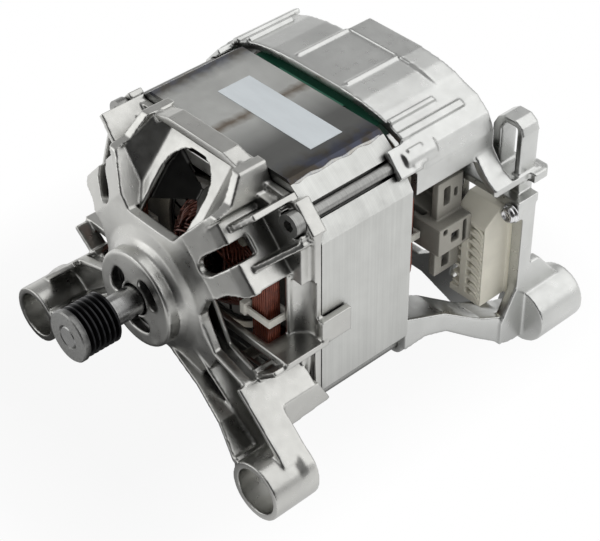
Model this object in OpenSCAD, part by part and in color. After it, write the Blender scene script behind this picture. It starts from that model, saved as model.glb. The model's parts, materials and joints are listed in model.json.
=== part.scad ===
// Universal motor of a front-loading washing machine.
// Origin: centre of the pulley's outer face, on the shaft axis.
// +Y runs along the shaft from the pulley to the rear, +X is right seen from the pulley, +Z is up.

/* [Stator stack] */
// Length of the laminated stack along the shaft
stack_len = 46.5; // [40:0.5:56]
// Width of the stack across its two poles
stack_w = 114; // [112:0.5:120]
// Height of the stack
stack_h = 110; // [108:0.5:116]
// Diameter over the rounded corners of the stack
stack_corner_d = 134.4; // [133:0.2:136]
// Bore in which the armature turns
stack_bore_d = 59; // [58:0.1:60]
// Width of the corner channels that hold the long screws
channel_w = 6.8; // [6:0.1:8]
// Height of the body of each pole
pole_h = 31; // [30:0.5:34]

/* [Shaft and pulley] */
// Diameter of the shaft in the pulley and up to the front bearing
shaft_d = 9; // [8:0.5:10]
// Diameter of the shaft in the front bearing and the armature
shaft_core_d = 12; // [11:0.5:13]
// Diameter of the shaft in the rear bearing
shaft_rear_d = 10; // [9:0.5:10.5]
// Diameter of the stub that carries the speed magnet
shaft_stub_d = 8; // [6:0.5:8.5]
// Length of the pulley
pulley_len = 17.6; // [17.2:0.2:22]
// Diameter over the pulley's ribs
pulley_d = 20.6; // [19:0.2:21]
// Diameter of the pulley's front collar
pulley_collar_d = 21.4; // [21:0.2:23]
// Pitch of the belt grooves
groove_pitch = 2.34; // [2:0.02:2.4]
// Depth of the belt grooves
groove_depth = 1.9; // [1.2:0.1:2.2]
// Number of belt grooves
groove_count = 6; // [4:1:6]
// Free shaft between the pulley and the hub
pulley_gap = 13.7; // [8:0.1:20]

/* [Armature] */
// Air gap between armature and stack
air_gap = 0.5; // [0.4:0.05:0.8]
// Number of armature slots
slot_count = 22; // [18:1:24]
// Diameter of the round bottom of each slot
slot_d = 5.2; // [4.4:0.1:5.4]
// Distance of the slots from the shaft axis
slot_r = 22; // [21:0.5:23]
// Diameter of the commutator
commutator_d = 32; // [30:0.5:34]
// Length of the commutator's running surface
commutator_len = 20; // [18:0.5:20.5]

/* [Front shield] */
// Depth from the hub's face to the stack
shield_depth = 43.5; // [43:0.5:50]
// Diameter of the hub
hub_d = 41; // [40:0.5:44]
// Clearance hole for the shaft in the hub's face
hub_hole_d = 13.6; // [13.2:0.1:14]
// Wall thickness of the castings
cast_wall = 3.5; // [3:0.1:4]
// Thickness of the gussets and ribs of the castings
rib_w = 2.4; // [2:0.1:3]
// Half width of the top pocket at its foot
pocket_foot = 13; // [11:0.5:14]
// Half width of the top pocket at its rim
pocket_rim = 27.3; // [26:0.1:29]
// Width of the slot in each upper arm
arm_slot_w = 7.7; // [6:0.1:9]
// Height of the raised bar over the stack's top
bar_h = 4.5; // [3:0.1:6]

/* [Feet] */
// Half the distance between the left and right foot tubes
foot_x = 68.8; // [68:0.1:74]
// Depth of the foot tubes under the shaft axis
foot_drop = 50.3; // [49:0.1:54]
// Outer diameter of the foot tubes
foot_d = 25; // [24:0.5:27]
// Bore of the foot tubes
foot_bore_d = 19.5; // [16:0.5:20]
// Front face of the front tubes, measured back from the pulley's face
foot_front = 29.4; // [28:0.1:31]
// Length of the front tubes
foot_front_len = 18.8; // [18.4:0.1:24]
// Length of the rear tubes
foot_rear_len = 25; // [24:0.5:27]
// Distance from the stack to the end of the rear tubes
foot_rear_reach = 80.2; // [79:0.1:84]

/* [Rear shield] */
// Gap between the stack and the roof's front edge
roof_gap = 3.7; // [3:0.1:6]
// Depth of the roof along the shaft
roof_len = 42; // [42:0.5:46]
// Height of the roof above the stack's top
roof_rise = 4.5; // [3.5:0.1:9]
// Thickness of the rear wall
rear_wall_t = 4; // [3:0.1:4.5]

/* [Long screws] */
// Distance of the screws from the stack's side
screw_in_x = 8; // [7.6:0.1:9]
// Distance of the screws from the stack's top and bottom
screw_in_z = 10.5; // [10:0.1:11.5]
// Diameter of the screws
screw_d = 5; // [4:0.1:5.4]
// Diameter of the screw heads
screw_head_d = 9.6; // [8:0.1:10.4]

/* [Bearings] */
// Outer diameter of the front bearing
front_bearing_d = 32; // [30:0.5:33]
// Width of the front bearing
front_bearing_w = 10; // [8:0.5:10.5]
// Outer diameter of the rear bearing
rear_bearing_d = 26; // [24:0.5:27]
// Width of the rear bearing
rear_bearing_w = 8; // [7:0.5:8]

/* [Field coils] */
// Loops in the outer layer of each field coil
coil_loops = 7; // [4:1:8]
// Diameter of the wire in the outer layer
wire_d = 1; // [0.6:0.05:1.05]
// Spacing of the loops
wire_pitch = 1.46; // [1.46:0.01:1.5]
// Depth of each coil's section
coil_depth = 6.5; // [6:0.5:8]
// Overhang of the coil past each end of the stack
coil_overhang = 14; // [13:0.1:14.2]

/* [Brushes] */
// Width of a carbon brush along the shaft
brush_w = 12.5; // [10:0.5:13]
// Thickness of a carbon brush
brush_t = 5; // [4.4:0.1:6]
// Length of a carbon brush
brush_len = 26; // [22:0.5:28]
// Running clearance of a brush in its holder
brush_clear = 0.15; // [0.1:0.01:0.3]
// Diameter of the brush springs
spring_d = 4.4; // [3.4:0.1:4.6]

/* [Terminal block] */
// Number of contacts
contacts = 8; // [6:1:8]
// Pitch of the contacts
contact_pitch = 4.6; // [4.4:0.1:4.7]
// Width of the block across the motor
block_w = 17; // [15:0.5:17]
// Depth of the block along the shaft
block_l = 13.8; // [12:0.1:14]

/* [Label] */
// Length of the label across the motor
label_w = 52; // [40:0.5:60]
// Width of the label along the shaft
label_l = 16; // [10:0.5:24]
// Distance of the label's middle from the motor's middle
label_off_x = 5; // [-5:0.5:10]
// Gap between the label and the stack's front edge
label_gap = 18.7; // [10:0.1:22]

/* [Hidden] */
$fn = 64;

// Places along the shaft
hub_y = pulley_len + pulley_gap;
stack_y0 = hub_y + shield_depth;
stack_y1 = stack_y0 + stack_len;
roof_y0 = stack_y1 + roof_gap;
roof_y1 = roof_y0 + roof_len;
wall_y0 = roof_y1 - rear_wall_t;
foot_rear_y1 = stack_y1 + foot_rear_reach;
foot_rear_y0 = foot_rear_y1 - foot_rear_len;

// Half sizes of the stack, and the places of the long screws and feet
half_w = stack_w / 2;
half_h = stack_h / 2;
roof_z = half_h + roof_rise;
screw_x = half_w - screw_in_x;
screw_z = half_h - screw_in_z;
screw_r = norm([screw_x, screw_z]);
arm_angle = atan2(screw_z, screw_x);
foot_z = -foot_drop;

// Commutator and brush holders, behind the coils
comm_y0 = stack_y1 + coil_overhang + 2.2;
comm_y1 = comm_y0 + commutator_len;
brush_y = (comm_y0 + comm_y1) / 2;
comm_r = commutator_d / 2;
brush_gap = 0.3;
brush_x0 = comm_r + brush_gap;
brush_x1 = brush_x0 + brush_len;
holder_half_y = 9;
holder_y0 = brush_y - holder_half_y;
holder_y1 = brush_y + holder_half_y;
holder_half_z = 6.5;
holder_x0 = comm_r + 3.5;
holder_x1 = half_w - 1;
holder_end = 2;
holder_plate_t = 3;
holder_gap = 0.7;

// The same outline on the other side of X = 0, in reverse order
function flip(points) = [for (i = [len(points) - 1:-1:0]) [-points[i][0], points[i][1]]];

// Plain shapes along the three axes
module along_x(x0, x1) translate([x0, 0, 0]) rotate([90, 0, 90]) linear_extrude(x1 - x0) children();
module along_y(y0, y1) translate([0, y1, 0]) rotate([90, 0, 0]) linear_extrude(y1 - y0) children();
module along_z(z0, z1) translate([0, 0, z0]) linear_extrude(z1 - z0) children();
module turned(points) rotate([-90, 0, 0]) rotate_extrude($fn = 96) polygon(points);
module rod(r, y0, y1) translate([0, y0, 0]) rotate([-90, 0, 0]) cylinder(r = r, h = y1 - y0);
module ring(r0, r1, y0, y1) turned([[r0, y0], [r1, y0], [r1, y1], [r0, y1]]);
module block(from, to) translate(from) cube(to - from);
module both_sides() { children(); mirror([1, 0, 0]) children(); }
module up_and_down() { children(); mirror([0, 0, 1]) children(); }
module on_side(s) mirror([s < 0 ? 1 : 0, 0, 0]) children();
// Turns local X to the direction at this angle from +X towards +Z, about the shaft
module at_angle(a) rotate([0, -a, 0]) children();
module at_screws() both_sides() up_and_down() translate([screw_x, 0, screw_z]) children();
// A straight wall seen along the shaft, from p to q, with its thickness centred on that line
module strip(p, q, w) translate(p) rotate(atan2(q[1] - p[1], q[0] - p[0])) translate([0, -w / 2])
    square([norm(q - p), w]);
module rounded_rect(l, h, r) {
    square([l - 2 * r, h], center = true);
    square([l, h - 2 * r], center = true);
    for (x = [-1, 1], y = [-1, 1]) translate([x * (l / 2 - r), y * (h / 2 - r)]) circle(r);
}

// Stator stack
yoke_side = 10;
yoke_top = 12;
coil_room = 2;
coil_gap = 2.38;
coil_clear = 0.5;
lay_gap = 0.1;
coil_x1 = half_w - yoke_side - coil_gap;
coil_x0 = coil_x1 - coil_loops * wire_pitch - wire_d;
coil_in_z = pole_h / 2 + 0.8;
coil_out_z = coil_in_z + coil_depth;
wire_z = coil_out_z + lay_gap + wire_d;
channel_floor = screw_r - screw_d / 2 - 1;
gap_half_w = 20;
slot_margin = 0.8;

module stator_stack() color("#a9aba6") along_y(stack_y0, stack_y1) difference() {
    intersection() {
        square([stack_w, stack_h], center = true);
        circle(d = stack_corner_d, $fn = 128);
    }
    circle(d = stack_bore_d, $fn = 128);
    for (sx = [0, 1], sz = [0, 1]) mirror([sx, 0]) mirror([0, sz]) {
        translate([coil_x0 - slot_margin, pole_h / 2])
            square([half_w - yoke_side - coil_x0 + slot_margin, coil_depth + 3]);
        rotate(arm_angle) translate([channel_floor, -channel_w / 2]) square([channel_w * 2, channel_w]);
    }
    square([2 * gap_half_w, 2 * (half_h - yoke_top)], center = true);
}

// Front shield
lip_t = 4.7;
washer_t = 0.8;
web_y = hub_y + 8.7;
hub_back = hub_y + lip_t + washer_t + front_bearing_w + 1.2;
flange_y = stack_y0 - 7.8;
rim_y = stack_y0 - 3.5;
screw_seat_y = stack_y0 - 4.8;
arm_face_r = screw_r - 14.6;
arm_low = -17;
wall_low = -16.5;
arm_high = 20;
gusset_t = 7.3;
pocket_foot_z = 30;
pocket_rim_z = 46.8;
bar_half_w = 23.5;
bar_flat = 15.5;
bar_y0 = stack_y0 - 10.4;
bar_y1 = stack_y0 - 2;
gusset_r = screw_r + 0.8;
screw_clear = 0.2;
hub_r = hub_d / 2;
foot_fit = 0.1;
seat_sides = 16;
seat_r = (foot_d / 2 + foot_fit) / cos(180 / seat_sides);

function arm_front() = [[14, web_y + 0.3], [37, web_y + 1.5], [arm_face_r - 3.6, web_y + 6.2],
    [arm_face_r, web_y + 9]];
module arm_solid(t0) along_z(t0, arm_high) polygon(concat(arm_front(), [[arm_face_r, rim_y], [14,
    rim_y]]));
module arm_hollow() along_z(arm_low - 1, arm_high + 1) polygon(concat(
    [for (p = arm_front()) [p[0] > 40 ? p[0] - cast_wall : p[0], p[1] + cast_wall]],
    [[arm_face_r - cast_wall, stack_y0], [13, stack_y0]]));
function pocket_half(grow) = [[pocket_foot + grow, pocket_foot_z], [pocket_rim + grow, pocket_rim_z],
    [bar_half_w + grow, half_h + bar_h - 1.5]];
module pocket_mouth(grow) polygon(concat(pocket_half(grow), flip(pocket_half(grow))));
pocket_wall = cast_wall * 1.25;

module upper_arm() {
    // Front web and outer face, open inside
    at_angle(arm_angle) difference() {
        union() {
            intersection() {
                arm_solid(arm_low);
                block([0, 0, arm_low], [arm_face_r + 1, web_y + 12, arm_high]);
            }
            arm_solid(wall_low);
        }
        arm_hollow();
    }
    // Wall along the top pocket, up to the end of the bar
    intersection() {
        along_y(web_y - 1, stack_y0) difference() {
            pocket_mouth(pocket_wall);
            pocket_mouth(0);
        }
        along_x(0, half_w) polygon([[web_y + 0.9, pocket_foot_z - 3], [web_y + 1.2, pocket_foot_z],
            [web_y + 7.9, pocket_rim_z], [web_y + 14.8, pocket_rim_z + 2], [bar_y0 - 1.5, half_h + bar_h],
            [stack_y0, half_h + bar_h], [stack_y0, pocket_foot_z - 3]]);
    }
    // Gussets beside the screw
    at_angle(arm_angle) {
        along_z(gusset_t, gusset_t + rib_w) polygon([[arm_face_r - 1, web_y + 12], [gusset_r, web_y + 14],
            [gusset_r, stack_y0], [arm_face_r - 1, stack_y0]]);
        along_z(-gusset_t - rib_w, -gusset_t) polygon([[arm_face_r - 1, web_y + 12], [gusset_r, flange_y],
            [gusset_r, stack_y0], [arm_face_r - 1, stack_y0]]);
    }
}

module arm_slot() at_angle(arm_angle) {
    block([37 + arm_slot_w / 2, web_y - 5, -arm_slot_w / 2], [screw_r, web_y + 18, arm_slot_w / 2]);
    translate([37 + arm_slot_w / 2, 0, 0]) rod(arm_slot_w / 2, web_y - 5, web_y + 18);
}

module hub() turned([[hub_hole_d / 2, hub_y], [hub_r - 0.6, hub_y], [hub_r, hub_y + 0.6], [hub_r,
    hub_y + 5.4],
    [hub_r + 2, hub_y + 7.4], [hub_r + 6, web_y + 0.3], [37, web_y + 1.5], [37, web_y + 1.5 + cast_wall],
    [hub_r + 4, web_y + 1.5 + cast_wall], [hub_r, hub_back], [hub_hole_d / 2, hub_back]]);

// The window beside the hub, seen along the shaft
module side_window() polygon([[27.4, 4], [30.9, 12.1], [39.6, 18.9], [46.3, 20.4], [50.6, 21.6], [80, 23],
    [80, -7], [54, -12.5], [49, -15.5], [40, -15.2], [33.6, -12.4], [29.2, -4]]);

// The plate that slopes back from the hub to the top bar, with its opening
plate_foot = [web_y + 3.9, pocket_foot_z - 4];
plate_top = [stack_y0 - 4.6, half_h + 0.9];
pocket_back = 17.6;
function plate_hole() = [[11.5, 14], [12.6, 37], [12.6, 42.5], [11, 46.4], [7.7, 49], [3, 51]];
module top_plate() difference() {
    intersection() {
        along_x(-40, 40) polygon([plate_foot, plate_top, plate_top + [cast_wall, 0],
            plate_foot + [cast_wall, 0]]);
        along_y(hub_y, stack_y0) union() {
            pocket_mouth(pocket_wall);
            translate([-pocket_foot - pocket_wall, 14]) square([2 * (pocket_foot + pocket_wall), 17]);
        }
    }
    along_y(hub_y, stack_y0) polygon(concat(plate_hole(), flip(plate_hole())));
}

// Sides of the pocket that close in towards the plate
side_tilt = 58;
side_turn = 226.7;
side_reach = 60;
module pocket_side() intersection() {
    along_y(web_y, bar_y0 + 3) pocket_mouth(pocket_wall - 1);
    translate([pocket_rim - 0.9, web_y + 14.8, pocket_rim_z + 1.6]) rotate([0, side_tilt, side_turn])
        translate([-side_reach, -side_reach, -side_reach]) cube([2 * side_reach, 2 * side_reach, side_reach]);
    along_x(0, half_w) polygon([[web_y + 1.6, pocket_foot_z], [web_y + 8.4, pocket_rim_z - 0.2],
        [web_y + 15.3, pocket_rim_z + 1.8], [bar_y0 - 1, half_h + bar_h - 0.4],
        [stack_y0, half_h + bar_h - 0.4],
        [stack_y0, pocket_foot_z]]);
}

function bar_half() = [[bar_half_w - 2.5, half_h + 0.8], [bar_half_w - 1.5, half_h - 6],
    [bar_half_w + 2, half_h - 6], [bar_half_w + 2, half_h + bar_h - 3],
    [bar_half_w - 1, half_h + bar_h - 2], [bar_flat, half_h + bar_h]];
cup_r = 7;
cup_y = stack_y0 - 9.4;
tongue_r = stack_corner_d / 2 + 0.3;
tongue_t = 2.7;
module flange_outline(inset) polygon([for (q = [[1, 1], [-1, 1], [-1, -1], [1, -1]])
    each (q[0] * q[1] > 0
        ? [[q[0] * (half_w - inset), q[1] * (half_h - 14)], [q[0] * (half_w - 11.5),
            q[1] * (half_h - 4.5 - inset)]]
        : [[q[0] * (half_w - 11.5), q[1] * (half_h - 4.5 - inset)], [q[0] * (half_w - inset),
            q[1] * (half_h - 14)]])]);
module flange() {
    difference() {
        union() {
            along_y(flange_y, rim_y) flange_outline(2.5);
            along_y(rim_y, stack_y0) flange_outline(0);
        }
        along_y(flange_y - 1, stack_y0 + 1) {
            intersection() {
                square([2 * (coil_x1 + coil_room), 2 * (half_h - yoke_top - 1)], center = true);
                rotate(arm_angle) square(2 * (arm_face_r - cast_wall), center = true);
            }
            square([2 * (coil_x1 + coil_room), 2 * (coil_out_z + wire_d + coil_room)], center = true);
        }
        both_sides() translate([half_w - 1.5, cup_y, shelf_z - 0.5]) cylinder(r = cup_r, h = 27);
    }
    // Wall between that hollow and the coil
    both_sides() block([coil_x1 + coil_room + 0.15, cup_y, shelf_z - 9],
        [half_w - 1.2 - cup_r, rim_y - 0.2, 21]);
    // Raised bar over the stack's top edge
    along_y(bar_y0, bar_y1) polygon(concat(bar_half(), flip(bar_half())));
    block([-bar_half_w, bar_y1 - 1, half_h - 6], [bar_half_w, stack_y0, half_h + 1]);
    // Tongues over the stack's upper corners
    both_sides() at_angle(arm_angle) {
        block([tongue_r, rim_y - 1, -8], [tongue_r + tongue_t, stack_y0 + 2.5, 6.5]);
        block([arm_face_r + 2, rim_y + 0.7, -7.5], [tongue_r + 1, stack_y0 - 0.6, 6]);
    }
}

// One front leg: a channel from the hub to its foot, with a shelf and a side wall back to the flange
shelf_z = -7;
side_x = half_w + 4;
shelf_y = stack_y0 - 21;
bar_depth = 3;
thin_bar_z = -20.6;
foot_front_y1 = foot_front + foot_front_len;
leg_back = foot_front_y1 + 3;
channel_y = leg_back - 2.2;
rim_depth = 5.2;
shelf_t = 2.8;
function leg_low() = [[7, -21.5], [28, -28.5], [45, -34], [foot_x - 12.3, foot_z + 6.8]];
function leg_top() = [[23, 8], [33, -12], [50, -17], [foot_x + 6.6, foot_z + 9.4]];
module leg_plan() polygon(concat([[0, -14]], leg_top(), [[foot_x, foot_z]], [for (i = [3:-1:0])
    leg_low()[i]]));
module leg_front() along_z(foot_z - foot_d, 10) polygon([[0, web_y + 0.3], [28, web_y - 3], [45,
    web_y - 7],
    [foot_x - 12, foot_front + 0.3], [foot_x + 20, foot_front + 3], [foot_x + 20, leg_back], [0,
        leg_back]]);
module front_leg() {
    along_y(channel_y, leg_back) leg_plan();
    intersection() {
        along_y(foot_front, leg_back) for (i = [0:2]) strip(leg_low()[i], leg_low()[i + 1], rib_w);
        leg_front();
    }
    along_y(web_y + 1.2, web_y + rim_depth) for (i = [0, 1]) strip(leg_top()[i], leg_top()[i + 1], rib_w);
    along_y(foot_front + 9, leg_back) strip(leg_top()[2], leg_top()[3], rib_w);
    along_y(web_y + 0.5, channel_y + 1) strip([20, -14], [foot_x - 9, foot_z + 6], rib_w * 0.7);
    // Bars from the hub to the shelf, and under it
    block([hub_r - 6.5, shelf_y, shelf_z - cast_wall], [side_x - 1, shelf_y + bar_depth, shelf_z]);
    block([hub_r - 6.5, hub_back - 2, shelf_z - cast_wall + 0.3], [hub_r - 3, shelf_y + 2, shelf_z - 0.3]);
    block([hub_r - 3, shelf_y + 0.4, thin_bar_z],
        [half_w - 5, shelf_y + bar_depth - 0.4, thin_bar_z + 1.1]);
    // Shelf, side wall and their walls to the leg
    block([coil_x1 + coil_room, shelf_y, shelf_z - shelf_t], [side_x, stack_y0, shelf_z]);
    along_x(half_w + 0.4, side_x) polygon([[shelf_y - 4.8, -26], [stack_y0 - 5.3, -26],
        [stack_y0 + 0.8, -37.4], [shelf_y - 0.6, -39]]);
    along_y(channel_y - 1, stack_y0 - 6.8)
        strip([coil_x1 + coil_room + 1, -14.7], [side_x - 0.8, -26.6], rib_w);
    along_y(channel_y - 1, shelf_y + 2) strip(leg_top()[2], [side_x - 0.8, shelf_z - 1.6], rib_w);
    block([half_w + 0.4, stack_y0 - 3, shelf_z - 2], [side_x - 0.5, stack_y0 + 12, shelf_z + 9]);
}

function arch_half() = concat([[0.1, -hub_r - 5]], [for (p = leg_low()) p - [0, rib_w / 2]],
    [[foot_x - 12, foot_z - 20]]);
module hub_windows() for (a = [158, 38, -82]) at_angle(a) {
    for (s = [-1, 1]) at_angle(s * 17) translate([11.2, 0, 0]) rod(3.2, hub_y - 1, hub_y + lip_t + 0.1);
    translate([0, hub_y - 1, 0]) rotate([-90, 0, 0]) rotate([0, 0, -17]) rotate_extrude(angle = 34)
        translate([8, 0]) square([6.4, lip_t + 1.1]);
}

// Room for the coils' front end turns
module coil_bay() both_sides() block([coil_x0 - coil_clear,
    stack_y0 - coil_overhang - lay_gap - wire_d - coil_clear, -wire_z - coil_clear],
    [coil_x1 + coil_clear, stack_y0 + 1, wire_z + coil_clear]);

module front_shield() color("#b6b8b3") difference() {
    union() {
        difference() {
            union() {
                hub();
                both_sides() upper_arm();
            }
            along_y(0, flange_y + 1) pocket_mouth(0);
            both_sides() arm_slot();
            coil_bay();
            both_sides() along_y(hub_y + 8, web_y + 12) side_window();
            along_y(hub_y + 8.5, web_y + 8) polygon(concat(arch_half(), flip(arch_half())));
        }
        top_plate();
        both_sides() pocket_side();
        flange();
        both_sides() front_leg();
    }
    rod(hub_hole_d / 2, hub_y - 1, hub_back + 1);
    rod(front_bearing_d / 2, hub_y + lip_t, leg_back + 1);
    hub_windows();
    at_screws() rod(screw_d / 2 + screw_clear, flange_y - 2, stack_y0 + 4);
    at_screws() rod(screw_head_d / 2 + 3 * screw_clear, flange_y - 6, screw_seat_y);
    both_sides() foot_seat(foot_front - 1, leg_back + 1);
}
// Flat-sided seat in which a foot tube lies
module foot_seat(y0, y1) translate([foot_x, 0, foot_z]) along_y(y0, y1)
    polygon([for (k = [0:seat_sides - 1]) let (a = 360 / seat_sides * (k + 0.5))
        seat_r * [cos(a), sin(a)]]);
module front_foot() translate([foot_x, 0, foot_z]) difference() {
    rod(foot_d / 2, foot_front, foot_front_y1);
    rod(foot_bore_d / 2, foot_front - 1, foot_front_y1 + 1);
}
module front_foot_left() color("#b6b8b3") on_side(-1) front_foot();
module front_foot_right() color("#b6b8b3") on_side(1) front_foot();

// Rear shield
bear_y1 = roof_y1;
bear_y0 = bear_y1 - rear_bearing_w;
boss_back = roof_y1 + 3;
boss_r = rear_bearing_d / 2 + 5;
roof_side = half_w - 1.5;
roof_foot_z = 31;
rib_x = 13.8;
step_y = roof_y0 + 30;
step_x = -rib_x - 0.5;
step_z = 28;
boss_len = 16;
screw_boss_r = 5.2;
holder_post = [holder_x1 - 17, 14];
post_x0 = foot_x - 3.8;
post_x1 = foot_x + 1.7;
post_y0 = holder_y1 + holder_gap + block_l;
post_y1 = post_y0 + 7;
foot_end_t = 2;
plate_z = 22;
window_x = holder_post[0] - 5;

function roof_half(d) = [[14, roof_z - d], [25, roof_z - 0.8 - d], [35, roof_z - 2.6 - d],
    [46 - d * 0.4, roof_z - 6.5 - d], [52 - d * 0.8, roof_z - 11.5 - d * 0.6],
    [roof_side - d, roof_foot_z + 10], [roof_side - d, roof_foot_z]];
function roof_all(d) = concat(flip(roof_half(d)), roof_half(d));
module roof_section(d) polygon(concat(roof_all(0), [for (i = [len(roof_all(d)) - 1:-1:0]) roof_all(d)[i]]));
function wall_half() = [[holder_post[0] + 7, 28], [holder_post[0] + 5, -20], [holder_post[0] + 2, -38],
    [foot_x - 2, -46], [foot_x + 1.5, -56], [foot_x - 8, -59], [24, -46]];
module rear_wall_plan() polygon(concat(roof_all(0), wall_half(), flip(wall_half())));

module wall_windows() {
    polygon([[20, 6], [window_x, 6], [window_x, 34], [12, 46], [6, 46], [6, 20], [14, 16]]);
    polygon([[-20, 6], [-window_x, 6], [-window_x, 24], [-6, 24], [-6, 20], [-14, 16]]);
    both_sides() polygon([[20, -6], [window_x, -6], [window_x, -30], [22, -38], [6, -38], [6, -20],
        [14, -16]]);
}

// An arched arm from the stack's lower corner to a rear foot
arm_end = foot_rear_y0 - 0.5;
module rear_arm() intersection() {
    along_x(30, foot_x + 10) polygon([[stack_y1, 15.5 - screw_z], [stack_y1 + 19, 10.5 - screw_z],
        [stack_y1 + 34, -42], [arm_end - 5, -46], [arm_end, -46], [arm_end, foot_z - 10],
        [arm_end - 10, foot_z - 9], [stack_y1 + 32, foot_z - 1.7], [stack_y1 + 20, 0.5 - screw_z],
        [stack_y1 + 10, 2.5 - screw_z], [stack_y1, -screw_z - 0.5]]);
    along_z(foot_z - 20, 0) polygon([[40, stack_y1], [half_w - 1, stack_y1], [60, stack_y1 + 19],
        [post_x1, arm_end - 9], [post_x1, arm_end], [60, arm_end], [50, stack_y1 + 32],
        [42, stack_y1 + 16]]);
}

module rear_foot_web() along_x(post_x0 + 1, post_x1) polygon([[wall_y0, foot_z + 4], [post_y1 - 2, -22.5],
    [post_y1 + 6, -22.7], [foot_rear_y1 - 4, foot_z + foot_d / 2 - 1], [foot_rear_y1 - 4, foot_z + 2],
    [wall_y0, foot_z - 8]]);
module rear_foot() translate([foot_x, 0, foot_z]) difference() {
    rod(foot_d / 2, foot_rear_y0, foot_rear_y1);
    rod(foot_bore_d / 2, foot_rear_y0 + foot_end_t, foot_rear_y1 + 1);
}
module rear_foot_left() color("#b3b5b0") on_side(-1) rear_foot();
module rear_foot_right() color("#b3b5b0") on_side(1) rear_foot();

// Bracket on the right that carries the terminal block and the earth screw
corner_z1 = plate_z - 9;
plate_t = 3.2;
corner_z0 = plate_z - 13.4;
pad_z0 = 3.5;
earth_x = foot_x - 1;
earth_z = plate_z - 14.2;
earth_y = post_y0 - 3.5;
earth_len = 11;
loop_x0 = 51;
loop_x1 = 66.5;
loop_top = 46;
loop_wall = 2.8;
module bracket() {
    block([42, roof_y1 - 9, plate_z - plate_t], [post_x0 + 2, post_y1 + 5, plate_z]);
    block([post_x0 - 7, earth_y, corner_z0], [post_x1, post_y1 + 1, corner_z1]);
    block([post_x0 - 4, post_y0 + 1, corner_z1 - 1], [post_x0 + 1, post_y1 + 2, plate_z - 2]);
    block([post_x0, post_y0, foot_z - 10], [post_x1, post_y1, corner_z0 + 3]);
    block([post_x0 - 1, earth_y + 0.2, pad_z0], [post_x1 - 0.3, post_y0 + 1, corner_z0 + 1]);
    // Tab at the rear of the plate
    along_z(plate_z - 4.5, plate_z - 0.3) polygon([[post_x0 - 3, post_y1 - 1], [post_x1 - 0.6, post_y1 - 1],
        [post_x1 - 0.6, post_y1 + 6], [post_x1 - 2.6, post_y1 + 8.5], [post_x0 - 3, post_y1 + 8.5]]);
    // Loop over the plate
    along_y(post_y0 + 0.3, post_y0 + 10) difference() {
        polygon([[loop_x0, plate_z - 1], [loop_x0, loop_top - 6], [loop_x0 + 2, loop_top - 2],
            [loop_x0 + 5, loop_top], [loop_x1 - 4.5, loop_top], [loop_x1 - 1.2, loop_top - 2],
            [loop_x1, loop_top - 5.5], [loop_x1 - 0.6, plate_z - 1]]);
        polygon([[loop_x0 + loop_wall + 1.6, plate_z - 2], [loop_x0 + loop_wall + 1.6, loop_top - 6.6],
            [loop_x0 + 6.4, loop_top - loop_wall], [loop_x1 - 3.4, loop_top - loop_wall],
            [loop_x1 - 3.4, plate_z - 2]]);
    }
    // Sheet from the roof's side down to the plate
    along_y(roof_y1 - 10, roof_y1 + 0.3) polygon([[roof_side - cast_wall + 0.3, roof_foot_z + 2.6],
        [roof_side - 0.4, roof_foot_z + 3], [roof_side + 3, plate_z + 7.4], [roof_side + 6.5, plate_z + 3.4],
        [post_x0 + 1.8, plate_z + 0.2], [post_x0 + 1.8, plate_z - 3], [roof_side + 6.5, plate_z - 0.5],
        [roof_side + 1.5, plate_z + 3.6], [roof_side - 1, plate_z + 7.5],
        [roof_side - cast_wall + 0.3, roof_foot_z + 0.4]]);
}

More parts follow.
